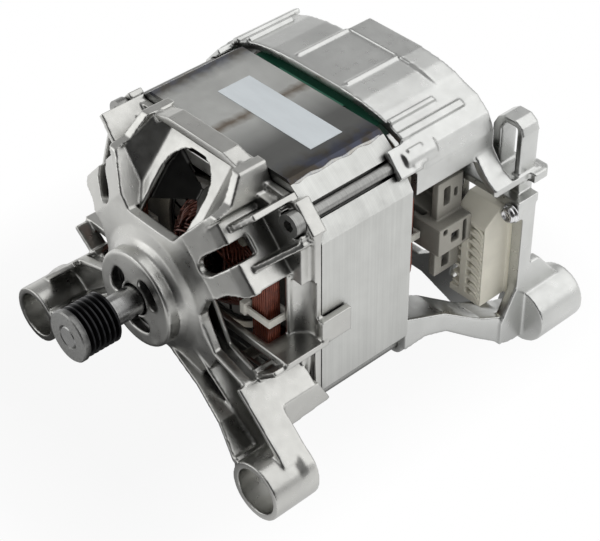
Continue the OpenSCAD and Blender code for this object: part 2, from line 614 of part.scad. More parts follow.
module rear_shield() color("#b3b5b0") difference() {
    union() {
        along_y(roof_y0, step_y) roof_section(cast_wall);
        along_y(step_y - 1, roof_y1) intersection() {
            roof_section(cast_wall);
            translate([step_x, 0]) square(foot_x * 2);
        }
        // Thin ribs along the roof and the thicker rear band
        for (x = [-rib_x, rib_x]) block([x - 0.7, roof_y0 + 3, roof_z - 1], [x + 0.7, step_y,
            roof_z + 0.8]);
        along_y(step_y + 0.5, roof_y1) polygon([[step_x, roof_z - 1], [step_x + 1, roof_z + 1],
            [16, roof_z + 1], [27, roof_z - 0.2], [35, roof_z - 2.2], [36, roof_z - 3.8]]);
        // The roof's left part ends earlier, with walls down to a shelf
        along_y(step_y - rear_wall_t, step_y) intersection() {
            polygon(roof_all(0));
            translate([-half_w, step_z]) square([half_w + step_x + 1, roof_z]);
        }
        block([step_x, step_y - 1, step_z], [step_x + cast_wall, roof_y1, roof_z - 1]);
        block([-roof_side + 9, step_y - rear_wall_t, step_z], [step_x + 1, roof_y1, step_z + cast_wall]);
        both_sides() {
            // Bars along the slopes of the roof
            along_y(roof_y0, roof_y0 + 24) strip([38.5, roof_z - 3.6], [40.5, roof_z - 4.1], 2.6);
            along_y(roof_y0 - 1, roof_y0 + 33) strip([44.6, roof_z - 5.8], [47.4, roof_z - 7.2], 2.4);
            along_y(roof_y0 - 1, roof_y0 + 6) strip([50.2, roof_z - 9.6], [54.4, roof_z - 16], 1.8);
        }
        difference() {
            along_y(wall_y0, roof_y1) rear_wall_plan();
            along_y(wall_y0 - 1, roof_y1 + 1) wall_windows();
            block([-foot_x, wall_y0 - 1, step_z + 1], [step_x + 1, roof_y1 + 1, roof_z + 1]);
        }
        rod(boss_r, bear_y0 - 1, boss_back);
        both_sides() up_and_down() translate([holder_post[0], 0, holder_post[1]]) rod(4, holder_y1,
            wall_y0 + 1);
        at_screws() rod(screw_boss_r, stack_y1, stack_y1 + boss_len);
        both_sides() rear_arm();
        both_sides() rear_foot_web();
        bracket();
        // Tongues over the stack's upper corners, and a hook on its right side
        both_sides() at_angle(arm_angle) block([stack_corner_d / 2 + 0.3, stack_y1 - 5.5, -6],
            [stack_corner_d / 2 + 3, roof_y0 + 3, 6]);
    }
    rod(rear_bearing_d / 2, bear_y0 - 2, bear_y1);
    rod(shaft_rear_d / 2 + 3, bear_y1 - 1, boss_back + 1);
    at_screws() rod(screw_d / 2, stack_y1 - 1, stack_y1 + boss_len - 2);
    at_screws() rod(screw_d / 2 + screw_clear, stack_y1 - 9, stack_y1);
    both_sides() up_and_down() translate([holder_post[0], 0, holder_post[1]]) rod(2, holder_y1 - 1,
        wall_y0);
    both_sides() foot_seat(foot_rear_y0 - foot_fit, foot_rear_y1 + 1);
    translate([earth_x, 0, earth_z]) rod(2, earth_y - 1, earth_y + earth_len + 1);
}

// Insulating frames at the stack's ends
frame_t = 2;
frame_r = stack_bore_d / 2 + 0.7;
peg_r = 40.5;
peg_len = 14;
carrier_half = 34;
carrier_l = 11;
module insulating_frame(y0, y1) {
    difference() {
        ring(frame_r, frame_r + 3, y0, y1);
        both_sides() up_and_down() block([coil_x0 - coil_clear, y0 - 1, coil_in_z - coil_clear],
            [coil_x1 + coil_clear, y1 + 1, wire_z + coil_clear]);
    }
    both_sides() block([frame_r, y0, -pole_h / 2 + 1], [coil_x1 - 1, y1, pole_h / 2 - 1]);
    both_sides() up_and_down() at_angle(45) block([frame_r + 1, y0, -3.5], [peg_r + 3.5, y1, 3.5]);
}
module front_insulator() color("#d8d2bd") {
    insulating_frame(stack_y0 - frame_t, stack_y0);
    both_sides() up_and_down() at_angle(45) translate([peg_r, 0, 0]) rod(2.4, stack_y0 - peg_len,
        stack_y0 - frame_t / 2);
}
module rear_insulator() color("#1f6a4c") {
    insulating_frame(stack_y1, stack_y1 + frame_t);
    block([-18, stack_y1, frame_r + 1], [18, stack_y1 + frame_t, half_h - 0.6]);
    block([-carrier_half, stack_y1 + 0.3, half_h - 10], [carrier_half, stack_y1 + carrier_l, half_h - 2.4]);
}

// Field coils: a plain core and one outer layer of wire, wound as a single tube
coil_mid_y = (stack_y0 + stack_y1) / 2;
coil_half_l = stack_len / 2 + coil_overhang;
core_r = 7;
loop_rings = 24;
tube_sides = 6;
path_l = coil_half_l + lay_gap + wire_d / 2;
path_h = coil_out_z + lay_gap + wire_d / 2;
path_r = core_r + lay_gap + wire_d / 2;

module field_coil() along_x(coil_x0, coil_x1) translate([coil_mid_y, 0]) difference() {
    rounded_rect(2 * coil_half_l, 2 * coil_out_z, core_r);
    square([2 * (coil_half_l - coil_depth), 2 * coil_in_z], center = true);
}

// Point and outward direction at this share of one loop, seen from the side
corner_steps = 5;
function corner(i) = [(i == 0 || i == 3 ? -1 : 1) * (path_l - path_r), (i < 2 ? 1 : -1)
    * (path_h - path_r)];
function loop_point(k) = let (i = floor(k / (corner_steps + 1)), j = k % (corner_steps + 1),
    a = 180 - 90 * i - 90 * (j > 4 ? 4 : j) / 4,
        n = [cos(a), sin(a)], c = corner(i), next = corner((i + 1) % 4))
    j < corner_steps ? [c + path_r * n, n]
    : [(c + next) / 2 + path_r * [cos(90 - 90 * i), sin(90 - 90 * i)], [cos(90 - 90 * i),
        sin(90 - 90 * i)]];
function wire_ring(k) = let (p = loop_point(k % loop_rings),
    x = coil_x0 + wire_d / 2 + wire_pitch * k / loop_rings)
    [x, coil_mid_y + p[0][0], p[0][1], p[1]];
wire_path = [for (k = [0:coil_loops * loop_rings]) wire_ring(k)];
function wire_skin(q) = [for (s = [0:tube_sides - 1]) let (a = 360 * s / tube_sides)
    [q[0] + wire_d / 2 * sin(a), q[1] + wire_d / 2 * cos(a) * q[3][0], q[2] + wire_d / 2 * cos(a)
        * q[3][1]]];
module field_winding() polyhedron(
    points = [for (q = wire_path) each wire_skin(q)],
    faces = concat(
        [for (k = [0:len(wire_path) - 2], s = [0:tube_sides - 1])
            let (a = k * tube_sides + s, b = k * tube_sides + (s + 1) % tube_sides)
            each [[a, b, b + tube_sides], [a, b + tube_sides, a + tube_sides]]],
        [for (s = [1:tube_sides - 2]) [0, s + 1, s]],
        [for (s = [1:tube_sides - 2]) let (o = (len(wire_path) - 1) * tube_sides) [o, o + s,
            o + s + 1]]));
wire_gap = min([for (i = [0:4:len(wire_path) - 1], j = [i + loop_rings / 2:1:len(wire_path) - 1])
    norm([for (c = [0:2]) wire_path[i][c] - wire_path[j][c]])]) - wire_d;
echo(least_gap_of_the_wire_to_itself = wire_gap);

module field_coil_left() color("#5c2018") on_side(-1) field_coil();
module field_coil_right() color("#5c2018") on_side(1) field_coil();
module field_winding_left() color("#7a2c1e") on_side(-1) field_winding();
module field_winding_right() color("#7a2c1e") on_side(1) field_winding();

// Ties round the coils' end turns
tie_t = 1.2;
tie_half_w = 1.6;
tie_clear = 0.4;
tie_y0 = wire_d + lay_gap + tie_clear;
module cable_tie(y0, y1) {
    difference() {
        block([coil_x0 - tie_clear - tie_t, y0 - tie_t, -tie_half_w], [coil_x1 + tie_clear + tie_t,
            y1 + tie_t, tie_half_w]);
        block([coil_x0 - tie_clear, y0, -tie_half_w - 1], [coil_x1 + tie_clear, y1, tie_half_w + 1]);
    }
}
module cable_ties() color("#dedbd0") both_sides() {
    cable_tie(stack_y0 - coil_overhang - tie_y0, stack_y0 - coil_overhang + coil_depth + tie_clear);
    block([coil_x0 - tie_clear - tie_t - 1.6, stack_y0 - coil_overhang - tie_y0 - tie_t - 0.6, -2.8],
          [coil_x0 - tie_clear, stack_y0 - coil_overhang - tie_y0 + 3.4 - tie_t, 2.8]);
    cable_tie(stack_y1 + coil_overhang - coil_depth - tie_clear, stack_y1 + coil_overhang + tie_y0);
}

// Long screws through the stack's corner channels
module long_screws() color("#8d8f8c") at_screws() {
    rod(screw_d / 2, screw_seat_y - 1, stack_y1 + boss_len - 2);
    difference() {
        rod(screw_head_d / 2, screw_seat_y - 4.2, screw_seat_y);
        translate([0, screw_seat_y - 4.3, 0]) rotate([-90, 0, 0]) cylinder(d = 5, h = 2.5, $fn = 6);
    }
}

// Terminal block and its contacts
block_x1 = post_x0 - 2;
block_x0 = block_x1 - block_w;
block_y0 = holder_y1 + holder_gap;
block_y1 = block_y0 + block_l;
block_z1 = 8;
pin_x = 2.2;
pin_w = 4.8;
pin_t = 0.8;
slot_l = 9;
slot_h = 3;
slot_room = 1.6;
cap_l = 8.5;
cap_drop = 6.5;
block_z0 = block_z1 - contacts * contact_pitch - 9.6;
contact_z = [for (i = [0:contacts - 1]) block_z1 - 7.4 - contact_pitch * (i + 0.5)];
module terminal_block() color("#d9d6c2") difference() {
    along_x(block_x0, block_x1) polygon([[block_y0, block_z0], [block_y1, block_z0], [block_y1, block_z1],
        [block_y0 + cap_l, block_z1], [block_y0, block_z1 - cap_drop]]);
    for (z = contact_z) block([block_x1 - pin_x - pin_w - slot_room, block_y0 - 1, z - slot_h / 2],
        [block_x1 - pin_x + slot_room, block_y0 + slot_l, z + slot_h / 2]);
    block([block_x0 - 1, block_y0 - 1, block_z0 + 3],
        [block_x0 + 5, block_y0 + 4, block_z1 - cap_drop - 2]);
}
module terminal_pins() color("#c9b36a") for (z = contact_z)
    block([block_x1 - pin_x - pin_w, block_y0 + 2, z - pin_t / 2], [block_x1 - pin_x, block_y0 + slot_l,
        z + pin_t / 2]);
module earth_screw() color("#c4c6c8") translate([earth_x, 0, earth_z]) {
    rod(2, earth_y - 1, earth_y + earth_len);
    rod(4.2, earth_y - 1.2, earth_y);
    difference() {
        translate([0, earth_y - 4.4, 0]) rotate([-90, 0, 0]) cylinder(d = 8, h = 3.4, $fn = 6);
        block([-0.6, earth_y - 5, -5], [0.6, earth_y - 3.2, 5]);
    }
}

// Brush gear
module carbon_brush() difference() {
    block([comm_r * 0.8, brush_y - brush_w / 2, -brush_t / 2], [brush_x1, brush_y + brush_w / 2,
        brush_t / 2]);
    rod(brush_x0, comm_y0, comm_y1);
}
module brush_holder() difference() {
    union() {
        block([holder_x0, holder_y0, -holder_half_z], [holder_x1, holder_y1, holder_half_z]);
        block([holder_x0 + 8, holder_y1 - holder_plate_t, -holder_post[1] - 5], [holder_x1 - 9,
            holder_y1, holder_post[1] + 5]);
        block([holder_x1 - 9, holder_y0 + 4, -holder_post[1] - 8], [holder_x1 - 5.5, holder_y1,
            holder_post[1] + 10]);
    }
    block([0, brush_y - brush_w / 2 - brush_clear, -brush_t / 2 - brush_clear],
          [holder_x1 - holder_end, brush_y + brush_w / 2 + brush_clear, brush_t / 2 + brush_clear]);
    up_and_down() translate([holder_post[0], 0, holder_post[1]]) rod(2.2,
        holder_y1 - holder_plate_t - 1, holder_y1 + 1);
}
module brush_spring() translate([brush_x1, brush_y, 0]) rotate([0, 90, 0]) difference() {
    cylinder(d = spring_d, h = holder_x1 - holder_end - brush_x1);
    translate([0, 0, -1]) cylinder(d = spring_d - 1.4, h = holder_x1);
}
module brush_holder_left() color("#c9c8be") on_side(-1) brush_holder();
module brush_holder_right() color("#c9c8be") on_side(1) brush_holder();
module brush_holder_screws() color("#8d8f8c") both_sides() up_and_down() translate([holder_post[0], 0,
    holder_post[1]]) {
    rod(2, holder_y1 - holder_plate_t - 1, wall_y0 - 1);
    rod(3.6, holder_y1 - holder_plate_t - 2.4, holder_y1 - holder_plate_t);
}
module brush_spring_left() color("#9a9c9a") on_side(-1) brush_spring();
module brush_spring_right() color("#9a9c9a") on_side(1) brush_spring();
module carbon_brush_left() color("#2c2c2e") on_side(-1) carbon_brush();
module carbon_brush_right() color("#2c2c2e") on_side(1) carbon_brush();

// Ball bearings
ball_clear = 0.15;
balls = 8;
module ball_track(mid, r, y) rotate([-90, 0, 0]) translate([0, 0, y]) rotate_extrude($fn = 96)
    translate([mid, 0]) circle(r, $fn = 48);
module bearing_outer(bore, od, y0, w) {
    mid = (bore + od) / 4;
    ball = (od - bore) * 0.145;
    difference() {
        ring(mid + ball * 0.7, od / 2, y0, y0 + w);
        ball_track(mid, ball + ball_clear, y0 + w / 2);
    }
}
module bearing_inner(bore, od, y0, w) {
    mid = (bore + od) / 4;
    ball = (od - bore) * 0.145;
    difference() {
        ring(bore / 2, mid - ball * 0.7, y0, y0 + w);
        ball_track(mid, ball + ball_clear, y0 + w / 2);
    }
}
module bearing_cage(bore, od, y0, w) {
    mid = (bore + od) / 4;
    ball = (od - bore) * 0.145;
    ring(mid - ball * 0.35, mid + ball * 0.35, y0 + w * 0.31, y0 + w * 0.69);
    for (i = [0:balls - 1]) at_angle(360 / balls * i) translate([mid, y0 + w / 2, 0]) sphere(ball,
        $fn = 32);
}
front_bear_y = hub_y + lip_t + washer_t;
module front_bearing_outer() color("#9fa1a0") bearing_outer(shaft_core_d, front_bearing_d,
    front_bear_y, front_bearing_w);
module front_bearing_inner() color("#9fa1a0") bearing_inner(shaft_core_d, front_bearing_d,
    front_bear_y, front_bearing_w);
module front_bearing_cage() color("#77797a") bearing_cage(shaft_core_d, front_bearing_d, front_bear_y,
    front_bearing_w);
module rear_bearing_outer() color("#9fa1a0") bearing_outer(shaft_rear_d, rear_bearing_d, bear_y0,
    rear_bearing_w);
module rear_bearing_inner() color("#9fa1a0") bearing_inner(shaft_rear_d, rear_bearing_d, bear_y0,
    rear_bearing_w);
module rear_bearing_cage() color("#77797a") bearing_cage(shaft_rear_d, rear_bearing_d, bear_y0,
    rear_bearing_w);
module wave_washer() color("#8a8c8b") ring(front_bearing_d / 2 - 3, front_bearing_d / 2 - 0.3,
    hub_y + lip_t, front_bear_y);

// Speed sensor behind the rear bearing
cap_r = boss_r;
cap_t = 1.8;
tacho_len = 11;
magnet_in = 8.4;
magnet_len = 9;
module tacho_coil() color("#2f3133") ring(cap_r - 6.4, cap_r - cap_t - 0.2, boss_back,
    boss_back + tacho_len);
module tacho_cap() color("#3a3c3d") turned([[cap_r - cap_t, boss_back], [cap_r, boss_back], [cap_r,
    boss_back + tacho_len + 2],
    [cap_r - 1, boss_back + tacho_len + 3], [0, boss_back + tacho_len + 3], [0,
        boss_back + tacho_len + 1],
    [cap_r - cap_t, boss_back + tacho_len + 1]]);
module tacho_magnet() color("#3b3a38") ring(shaft_stub_d / 2, cap_r - magnet_in, boss_back + 1.5,
    boss_back + magnet_len);

// Bare label on the stack's top
label_t = 0.2;
module blank_label() color("#d3dcdf") block([label_off_x - label_w / 2, stack_y0 + label_gap, half_h],
    [label_off_x + label_w / 2, stack_y0 + label_gap + label_l, half_h + label_t]);

// Rotor
shaft_step = pulley_len + 0.4;
stub_y = bear_y1 + 0.5;
module shaft() color("#8b8d8c") turned([[0, 0], [shaft_d / 2 - 0.5, 0], [shaft_d / 2, 0.5],
    [shaft_d / 2, shaft_step],
    [shaft_core_d / 2, shaft_step + 0.6], [shaft_core_d / 2, front_bear_y + front_bearing_w],
        [shaft_core_d / 2 + 1.4, front_bear_y + front_bearing_w],
    [shaft_core_d / 2 + 1.4, front_bear_y + front_bearing_w + 3], [shaft_core_d / 2,
        front_bear_y + front_bearing_w + 3],
    [shaft_core_d / 2, bear_y0 - 0.2], [shaft_rear_d / 2, bear_y0 - 0.2], [shaft_rear_d / 2, stub_y],
        [shaft_stub_d / 2, stub_y],
    [shaft_stub_d / 2, boss_back + 9.5], [0, boss_back + 9.5]]);

collar_w = 2.2;
function groove(i) = let (y = collar_w + 0.5 + i * groove_pitch, r = pulley_d / 2)
    [[r, y + groove_pitch * 0.14], [r - groove_depth, y + groove_pitch * 0.46],
     [r - groove_depth, y + groove_pitch * 0.54], [r, y + groove_pitch * 0.86]];
module pulley() color("#1b1c1d") turned(concat(
    [[shaft_d / 2, 0.9], [shaft_d / 2 + 0.6, 0], [pulley_collar_d / 2 - 0.5, 0], [pulley_collar_d / 2,
        0.5], [pulley_collar_d / 2, collar_w],
     [pulley_d / 2, collar_w + 0.3]],
    [for (i = [0:groove_count - 1]) each groove(i)],
    [[pulley_d / 2, pulley_len - 0.5], [pulley_d / 2 - 0.5, pulley_len], [shaft_d / 2, pulley_len]]));

core_r_out = stack_bore_d / 2 - air_gap;
slot_mouth = 1.6;
module armature_core() color("#5b5853") along_y(stack_y0, stack_y1) difference() {
    circle(core_r_out, $fn = 128);
    circle(d = shaft_core_d);
    for (i = [0:slot_count - 1]) rotate(360 / slot_count * i) {
        translate([slot_r, 0]) circle(d = slot_d, $fn = 24);
        translate([slot_r, -slot_mouth / 2]) square([core_r_out, slot_mouth]);
    }
}
end_turn_r = slot_r + slot_d / 2 + 0.8;
module end_turns(y0, y1) turned([[shaft_core_d / 2 + 4, y0 + 3], [shaft_core_d / 2 + 7, y0],
    [end_turn_r - 4, y0], [end_turn_r, y0 + 4],
    [end_turn_r, y1], [shaft_core_d / 2 + 4, y1]]);
module armature_winding() color("#6a2a1c") {
    end_turns(stack_y0 - 11.5, stack_y0 - 0.3);
    translate([0, stack_y0 + stack_y1, 0]) mirror([0, 1, 0]) end_turns(stack_y0 - 12, stack_y0 - 0.3);
    for (i = [0:slot_count - 1]) at_angle(360 / slot_count * i) translate([slot_r, 0, 0])
        rod(slot_d / 2 - 0.2, stack_y0 - 1, stack_y1 + 1, $fn = 24);
}
bar_slot = 0.6;
module commutator() color("#a8623a") difference() {
    turned([[shaft_core_d / 2, comm_y0 - 2], [comm_r + 2, comm_y0 - 2], [comm_r + 2, comm_y0 - 0.3],
        [comm_r, comm_y0],
        [comm_r, comm_y1], [shaft_core_d / 2, comm_y1]]);
    for (i = [0:slot_count - 1]) at_angle(360 / slot_count * i)
        block([comm_r - 1, comm_y0 - 3, -bar_slot / 2], [comm_r + 4, comm_y1 + 1, bar_slot / 2]);
}

front_shield();
front_foot_left();
front_foot_right();
rear_shield();
rear_foot_left();
rear_foot_right();
stator_stack();
front_insulator();
rear_insulator();
field_coil_left();
field_coil_right();
field_winding_left();
field_winding_right();
cable_ties();
long_screws();
terminal_block();
terminal_pins();
earth_screw();
brush_holder_left();
brush_holder_right();
brush_holder_screws();
brush_spring_left();
brush_spring_right();
carbon_brush_left();
carbon_brush_right();
front_bearing_outer();
front_bearing_inner();
front_bearing_cage();
wave_washer();
rear_bearing_outer();
rear_bearing_inner();
rear_bearing_cage();
tacho_coil();
tacho_cap();
blank_label();
shaft();
pulley();
armature_core();
armature_winding();
commutator();
tacho_magnet();
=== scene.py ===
"""Looks of a washing machine motor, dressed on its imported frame. Lengths are metres, as in the frame."""
import json
import math
import random

import bpy
import numpy as np
from mathutils import Matrix, Vector


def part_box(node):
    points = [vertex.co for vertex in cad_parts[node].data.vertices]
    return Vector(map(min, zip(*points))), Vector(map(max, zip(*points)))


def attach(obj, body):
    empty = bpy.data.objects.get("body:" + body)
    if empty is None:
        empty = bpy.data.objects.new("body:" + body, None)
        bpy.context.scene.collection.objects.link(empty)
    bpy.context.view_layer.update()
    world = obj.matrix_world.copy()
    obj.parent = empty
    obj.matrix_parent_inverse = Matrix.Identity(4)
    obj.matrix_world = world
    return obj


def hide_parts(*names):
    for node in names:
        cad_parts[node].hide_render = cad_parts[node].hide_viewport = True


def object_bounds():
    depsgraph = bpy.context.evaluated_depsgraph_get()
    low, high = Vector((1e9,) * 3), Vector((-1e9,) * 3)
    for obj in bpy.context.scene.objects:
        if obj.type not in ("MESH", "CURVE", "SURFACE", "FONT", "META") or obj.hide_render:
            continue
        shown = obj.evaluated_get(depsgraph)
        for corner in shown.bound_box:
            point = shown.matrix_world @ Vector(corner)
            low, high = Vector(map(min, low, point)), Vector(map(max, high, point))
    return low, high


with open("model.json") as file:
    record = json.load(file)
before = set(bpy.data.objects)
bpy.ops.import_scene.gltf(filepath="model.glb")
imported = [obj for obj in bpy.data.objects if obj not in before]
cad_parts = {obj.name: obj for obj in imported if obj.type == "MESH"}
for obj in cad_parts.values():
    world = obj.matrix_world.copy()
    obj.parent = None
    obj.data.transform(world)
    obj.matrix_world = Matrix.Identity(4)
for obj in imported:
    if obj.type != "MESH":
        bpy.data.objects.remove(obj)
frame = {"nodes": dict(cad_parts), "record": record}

cad_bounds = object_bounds()
nodes = frame["nodes"]
MM = 0.001
random.seed(7)

# Camera of the photograph: angles in degrees, focal length in pixels of the photograph

IMAGE_W = 600
VIEW_AZIMUTH = 47.66
VIEW_ELEVATION = 39.64
VIEW_ROLL = -0.56
FOCAL_PX = 1742.0
SENSOR_W = 36.0
CAMERA_PLACE = Vector((410.77, -258.41, 426.61)) * MM


def make_camera():
    """Camera that stands and looks as the photograph's did."""
    az, el, roll = (math.radians(a) for a in (VIEW_AZIMUTH, VIEW_ELEVATION, VIEW_ROLL))
    right = Vector((math.cos(az), math.sin(az), 0))
    up = Vector((-math.sin(az) * math.sin(el), math.cos(az) * math.sin(el), math.cos(el)))
    back = Vector((math.sin(az) * math.cos(el), -math.cos(az) * math.cos(el), math.sin(el)))
    x = right * math.cos(roll) + up * math.sin(roll)
    y = up * math.cos(roll) - right * math.sin(roll)
    data = bpy.data.cameras.new("photo_camera")
    data.sensor_fit = "HORIZONTAL"
    data.sensor_width = SENSOR_W
    data.lens = FOCAL_PX / IMAGE_W * SENSOR_W
    data.clip_start = 20 * MM
    camera = bpy.data.objects.new("photo_camera", data)
    turn = Matrix((x, y, back)).transposed().to_4x4()
    camera.matrix_world = Matrix.Translation(CAMERA_PLACE) @ turn
    bpy.context.scene.collection.objects.link(camera)
    bpy.context.scene.camera = camera


make_camera()
bpy.context.scene.view_settings.view_transform = "Standard"


# Node materials


def set_stops(ramp_node, stops):
    """Fills a colour ramp from (position, colour) stops, in which a number stands for a grey."""
    elements = ramp_node.color_ramp.elements
    while len(elements) < len(stops):
        elements.new(0.5)
    for element, (position, colour) in zip(elements, stops):
        element.position = position
        rgb = (colour,) * 3 if isinstance(colour, (int, float)) else colour
        element.color = (*rgb, 1)


class Finish:
    """One procedural material being put together around a Principled shader."""

    def __init__(self, name, **sockets):
        self.material = bpy.data.materials.new(name)
        self.material.use_nodes = True
        self.tree = self.material.node_tree
        self.shader = self.tree.nodes["Principled BSDF"]
        self.place = self.node("ShaderNodeTexCoord").outputs["Object"]
        for socket, value in sockets.items():
            self.shader.inputs[socket.replace("_", " ")].default_value = value

    def node(self, kind, **settings):
        made = self.tree.nodes.new(kind)
        for key, value in settings.items():
            setattr(made, key, value)
        return made

    def link(self, source, target):
        self.tree.links.new(source, target)

    def noise(self, size, detail, stretch=(1, 1, 1)):
        """Noise whose features measure about this size, drawn out along an axis where stretch is large."""
        mapping = self.node("ShaderNodeMapping")
        self.link(self.place, mapping.inputs["Vector"])
        mapping.inputs["Scale"].default_value = [1 / s for s in stretch]
        made = self.node("ShaderNodeTexNoise")
        self.link(mapping.outputs["Vector"], made.inputs["Vector"])
        made.inputs["Scale"].default_value = 1 / size
        made.inputs["Detail"].default_value = detail
        return made.outputs["Fac"]

    def ramp(self, source, *stops):
        """Colour ramp over this source, from stops at 0 to 1."""
        made = self.node("ShaderNodeValToRGB")
        self.link(source, made.inputs["Fac"])
        set_stops(made, stops)
        return made.outputs["Color"]

    def math(self, operation, a, b=0.0):
        made = self.node("ShaderNodeMath", operation=operation)
        for socket, value in zip(made.inputs, (a, b)):
            if isinstance(value, (int, float)):
                socket.default_value = value
            else:
                self.link(value, socket)
        return made.outputs["Value"]

    def both(self, a, b):
        """Product of two shares."""
        return self.math("MULTIPLY", a, b)

    def mix(self, share, a, b):
        """Colour a, with this share of colour b; 0, 6, 7 and 2 are the mix node's sockets for colours."""
        made = self.node("ShaderNodeMix", data_type="RGBA")
        for socket, value in ((made.inputs[0], share), (made.inputs[6], a), (made.inputs[7], b)):
            if isinstance(value, (int, float)):
                socket.default_value = value
            elif isinstance(value, (tuple, list)):
                socket.default_value = (*value, 1)
            else:
                self.link(value, socket)
        return made.outputs[2]

    def axis(self, name):
        split = self.node("ShaderNodeSeparateXYZ")
        self.link(self.place, split.inputs["Vector"])
        return split.outputs[name]

    def edges(self, low, high):
        """0 on flat places, 1 on outward edges of a dense mesh."""
        pointy = self.node("ShaderNodeNewGeometry").outputs["Pointiness"]
        return self.ramp(pointy, (low, 0.0), (high, 1.0))

    def hollows(self, reach, low, high):
        """1 in recesses that are narrower than about this reach, 0 on open faces."""
        made = self.node("ShaderNodeAmbientOcclusion", samples=6)
        made.inputs["Distance"].default_value = reach
        return self.ramp(made.outputs["AO"], (low, 1.0), (high, 0.0))

    def near_plane(self, normal, offset, reach):
        """1 within this reach of the plane on which normal . place = offset, 0 elsewhere."""
        terms = [self.both(self.axis(name), part) for name, part in zip("XYZ", normal)]
        total = self.math("ADD", self.math("ADD", terms[0], terms[1]), terms[2])
        return self.math("LESS_THAN", self.math("ABSOLUTE", self.math("SUBTRACT", total, offset)), reach)

    def facing_up(self, low, high):
        """0 where a face leans further from straight up than low, 1 where it lies level."""
        split = self.node("ShaderNodeSeparateXYZ")
        self.link(self.node("ShaderNodeNewGeometry").outputs["Normal"], split.inputs["Vector"])
        return self.ramp(split.outputs["Z"], (low, 0.0), (high, 1.0))

    def colour(self, source):
        self.link(source, self.shader.inputs["Base Color"])

    def roughness(self, source, low, high):
        self.link(self.ramp(source, (0.25, low), (0.75, high)), self.shader.inputs["Roughness"])

    def bump(self, source, strength, depth):
        made = self.node("ShaderNodeBump")
        made.inputs["Strength"].default_value = strength
        made.inputs["Distance"].default_value = depth
        self.link(source, made.inputs["Height"])
        chained = self.shader.inputs["Normal"].links
        if chained:
            self.link(chained[0].from_socket, made.inputs["Normal"])
        self.link(made.outputs["Normal"], self.shader.inputs["Normal"])


def shade(rgb, factor):
    return tuple(c * factor for c in rgb)


# Heights for a ramp are lifted by this much, because its stops start at 0
RAMP_LIFT = 100 * MM
TUBE_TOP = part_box("front_foot_left")[1].z

# Wall inside the front casting's top pocket, given painted shade where it shows through the pocket's hole
POCKET_SHADE_NORMAL = (0.58, -0.62, 0.53)
POCKET_SHADE_OFFSET = -23.7 * MM
POCKET_SHADE_REACH = 1.4 * MM
POCKET_SHADE_HALF_W = 13.4 * MM
POCKET_SHADE_FROM_Z = 24 * MM


def cast_metal(name, rgb, open_air, shaded_pocket_wall=False):
    """Satin die-cast aluminium: cloudy tone, fine skin, lighter rubbed edges and painted shade in its
    recesses, with painted shade on the top pocket's inner wall where asked.
    """
    f = Finish(name, Metallic=1.0)
    tone = f.ramp(f.noise(22 * MM, 4), (0.3, shade(rgb, 0.9)), (0.7, shade(rgb, 1.06)))
    # Painted shade: darker in recesses found by ambient occlusion, only above the foot tubes' tops and not on
    # level faces
    painted_shade = f.both(f.hollows(20 * MM, 0.08, open_air), 0.8)
    height = f.math("ADD", f.axis("Z"), RAMP_LIFT)
    tubes = RAMP_LIFT + TUBE_TOP
    painted_shade = f.both(painted_shade, f.ramp(height, (tubes - 4.2 * MM, 0.0), (tubes + 3.8 * MM, 1.0)))
    painted_shade = f.both(painted_shade, f.math("SUBTRACT", 1.0, f.facing_up(0.8, 0.98)))
    tone = f.mix(painted_shade, tone, shade(rgb, 0.12))
    # Painted shade: the wall inside the top pocket is darkened near a plane, within a band across X and above
    # a height
    if shaded_pocket_wall:
        wall = f.near_plane(POCKET_SHADE_NORMAL, POCKET_SHADE_OFFSET, POCKET_SHADE_REACH)
        within = f.math("LESS_THAN", f.math("ABSOLUTE", f.axis("X")), POCKET_SHADE_HALF_W)
        within = f.both(within, f.math("GREATER_THAN", f.axis("Z"), POCKET_SHADE_FROM_Z))
        tone = f.mix(f.both(f.both(wall, within), 0.9), tone, shade(rgb, 0.06))
    f.colour(f.mix(f.edges(0.53, 0.62), tone, shade(rgb, 1.25)))
    f.roughness(f.noise(4 * MM, 4), 0.25, 0.37)
    f.bump(f.noise(0.6 * MM, 3), 0.14, 0.16 * MM)
    f.bump(f.noise(9 * MM, 2), 0.1, 0.7 * MM)
    return f.material


SHEET_PITCH = 0.65 * MM
STACK_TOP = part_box("stator_stack")[1].z - 1.5 * MM
WELD_X = 40.5 * MM
SEAM_X = -2 * MM
SEAM_BROWN = (0.13, 0.085, 0.045)
BURNT_BROWN = (0.05, 0.04, 0.03)
BURNT_BLUE = (0.05, 0.055, 0.085)


def laminated_steel(name, rgb, heat_tinted=False):
    """Stacked sheets: fine lines across the shaft's direction, with painted shade in their hollows."""
    f = Finish(name, Metallic=1.0)
    wave = f.math("SINE", f.both(f.axis("Y"), 2 * math.pi / SHEET_PITCH))
    sheet = f.noise(SHEET_PITCH * 1.6, 2, stretch=(60, 1, 60))
    lines = f.math("ADD", f.both(wave, 0.16), sheet)
    tone = f.ramp(lines, (0.25, shade(rgb, 0.8)), (0.8, shade(rgb, 1.1)))
    cloud = f.ramp(f.noise(20 * MM, 3), (0.3, shade(rgb, 0.9)), (0.7, shade(rgb, 1.06)))
    tone = f.mix(0.6, tone, cloud)
    # Painted shade: darker in hollows found by ambient occlusion
    tone = f.mix(f.both(f.hollows(16 * MM, 0.35, 0.82), 0.9), tone, shade(rgb, 0.1))
    if heat_tinted:
        tone = heat_tint(f, rgb, tone, cloud)
    f.colour(tone)
    f.roughness(f.noise(5 * MM, 3), 0.32, 0.46)
    f.bump(lines, 0.14, 0.1 * MM)
    return f.material


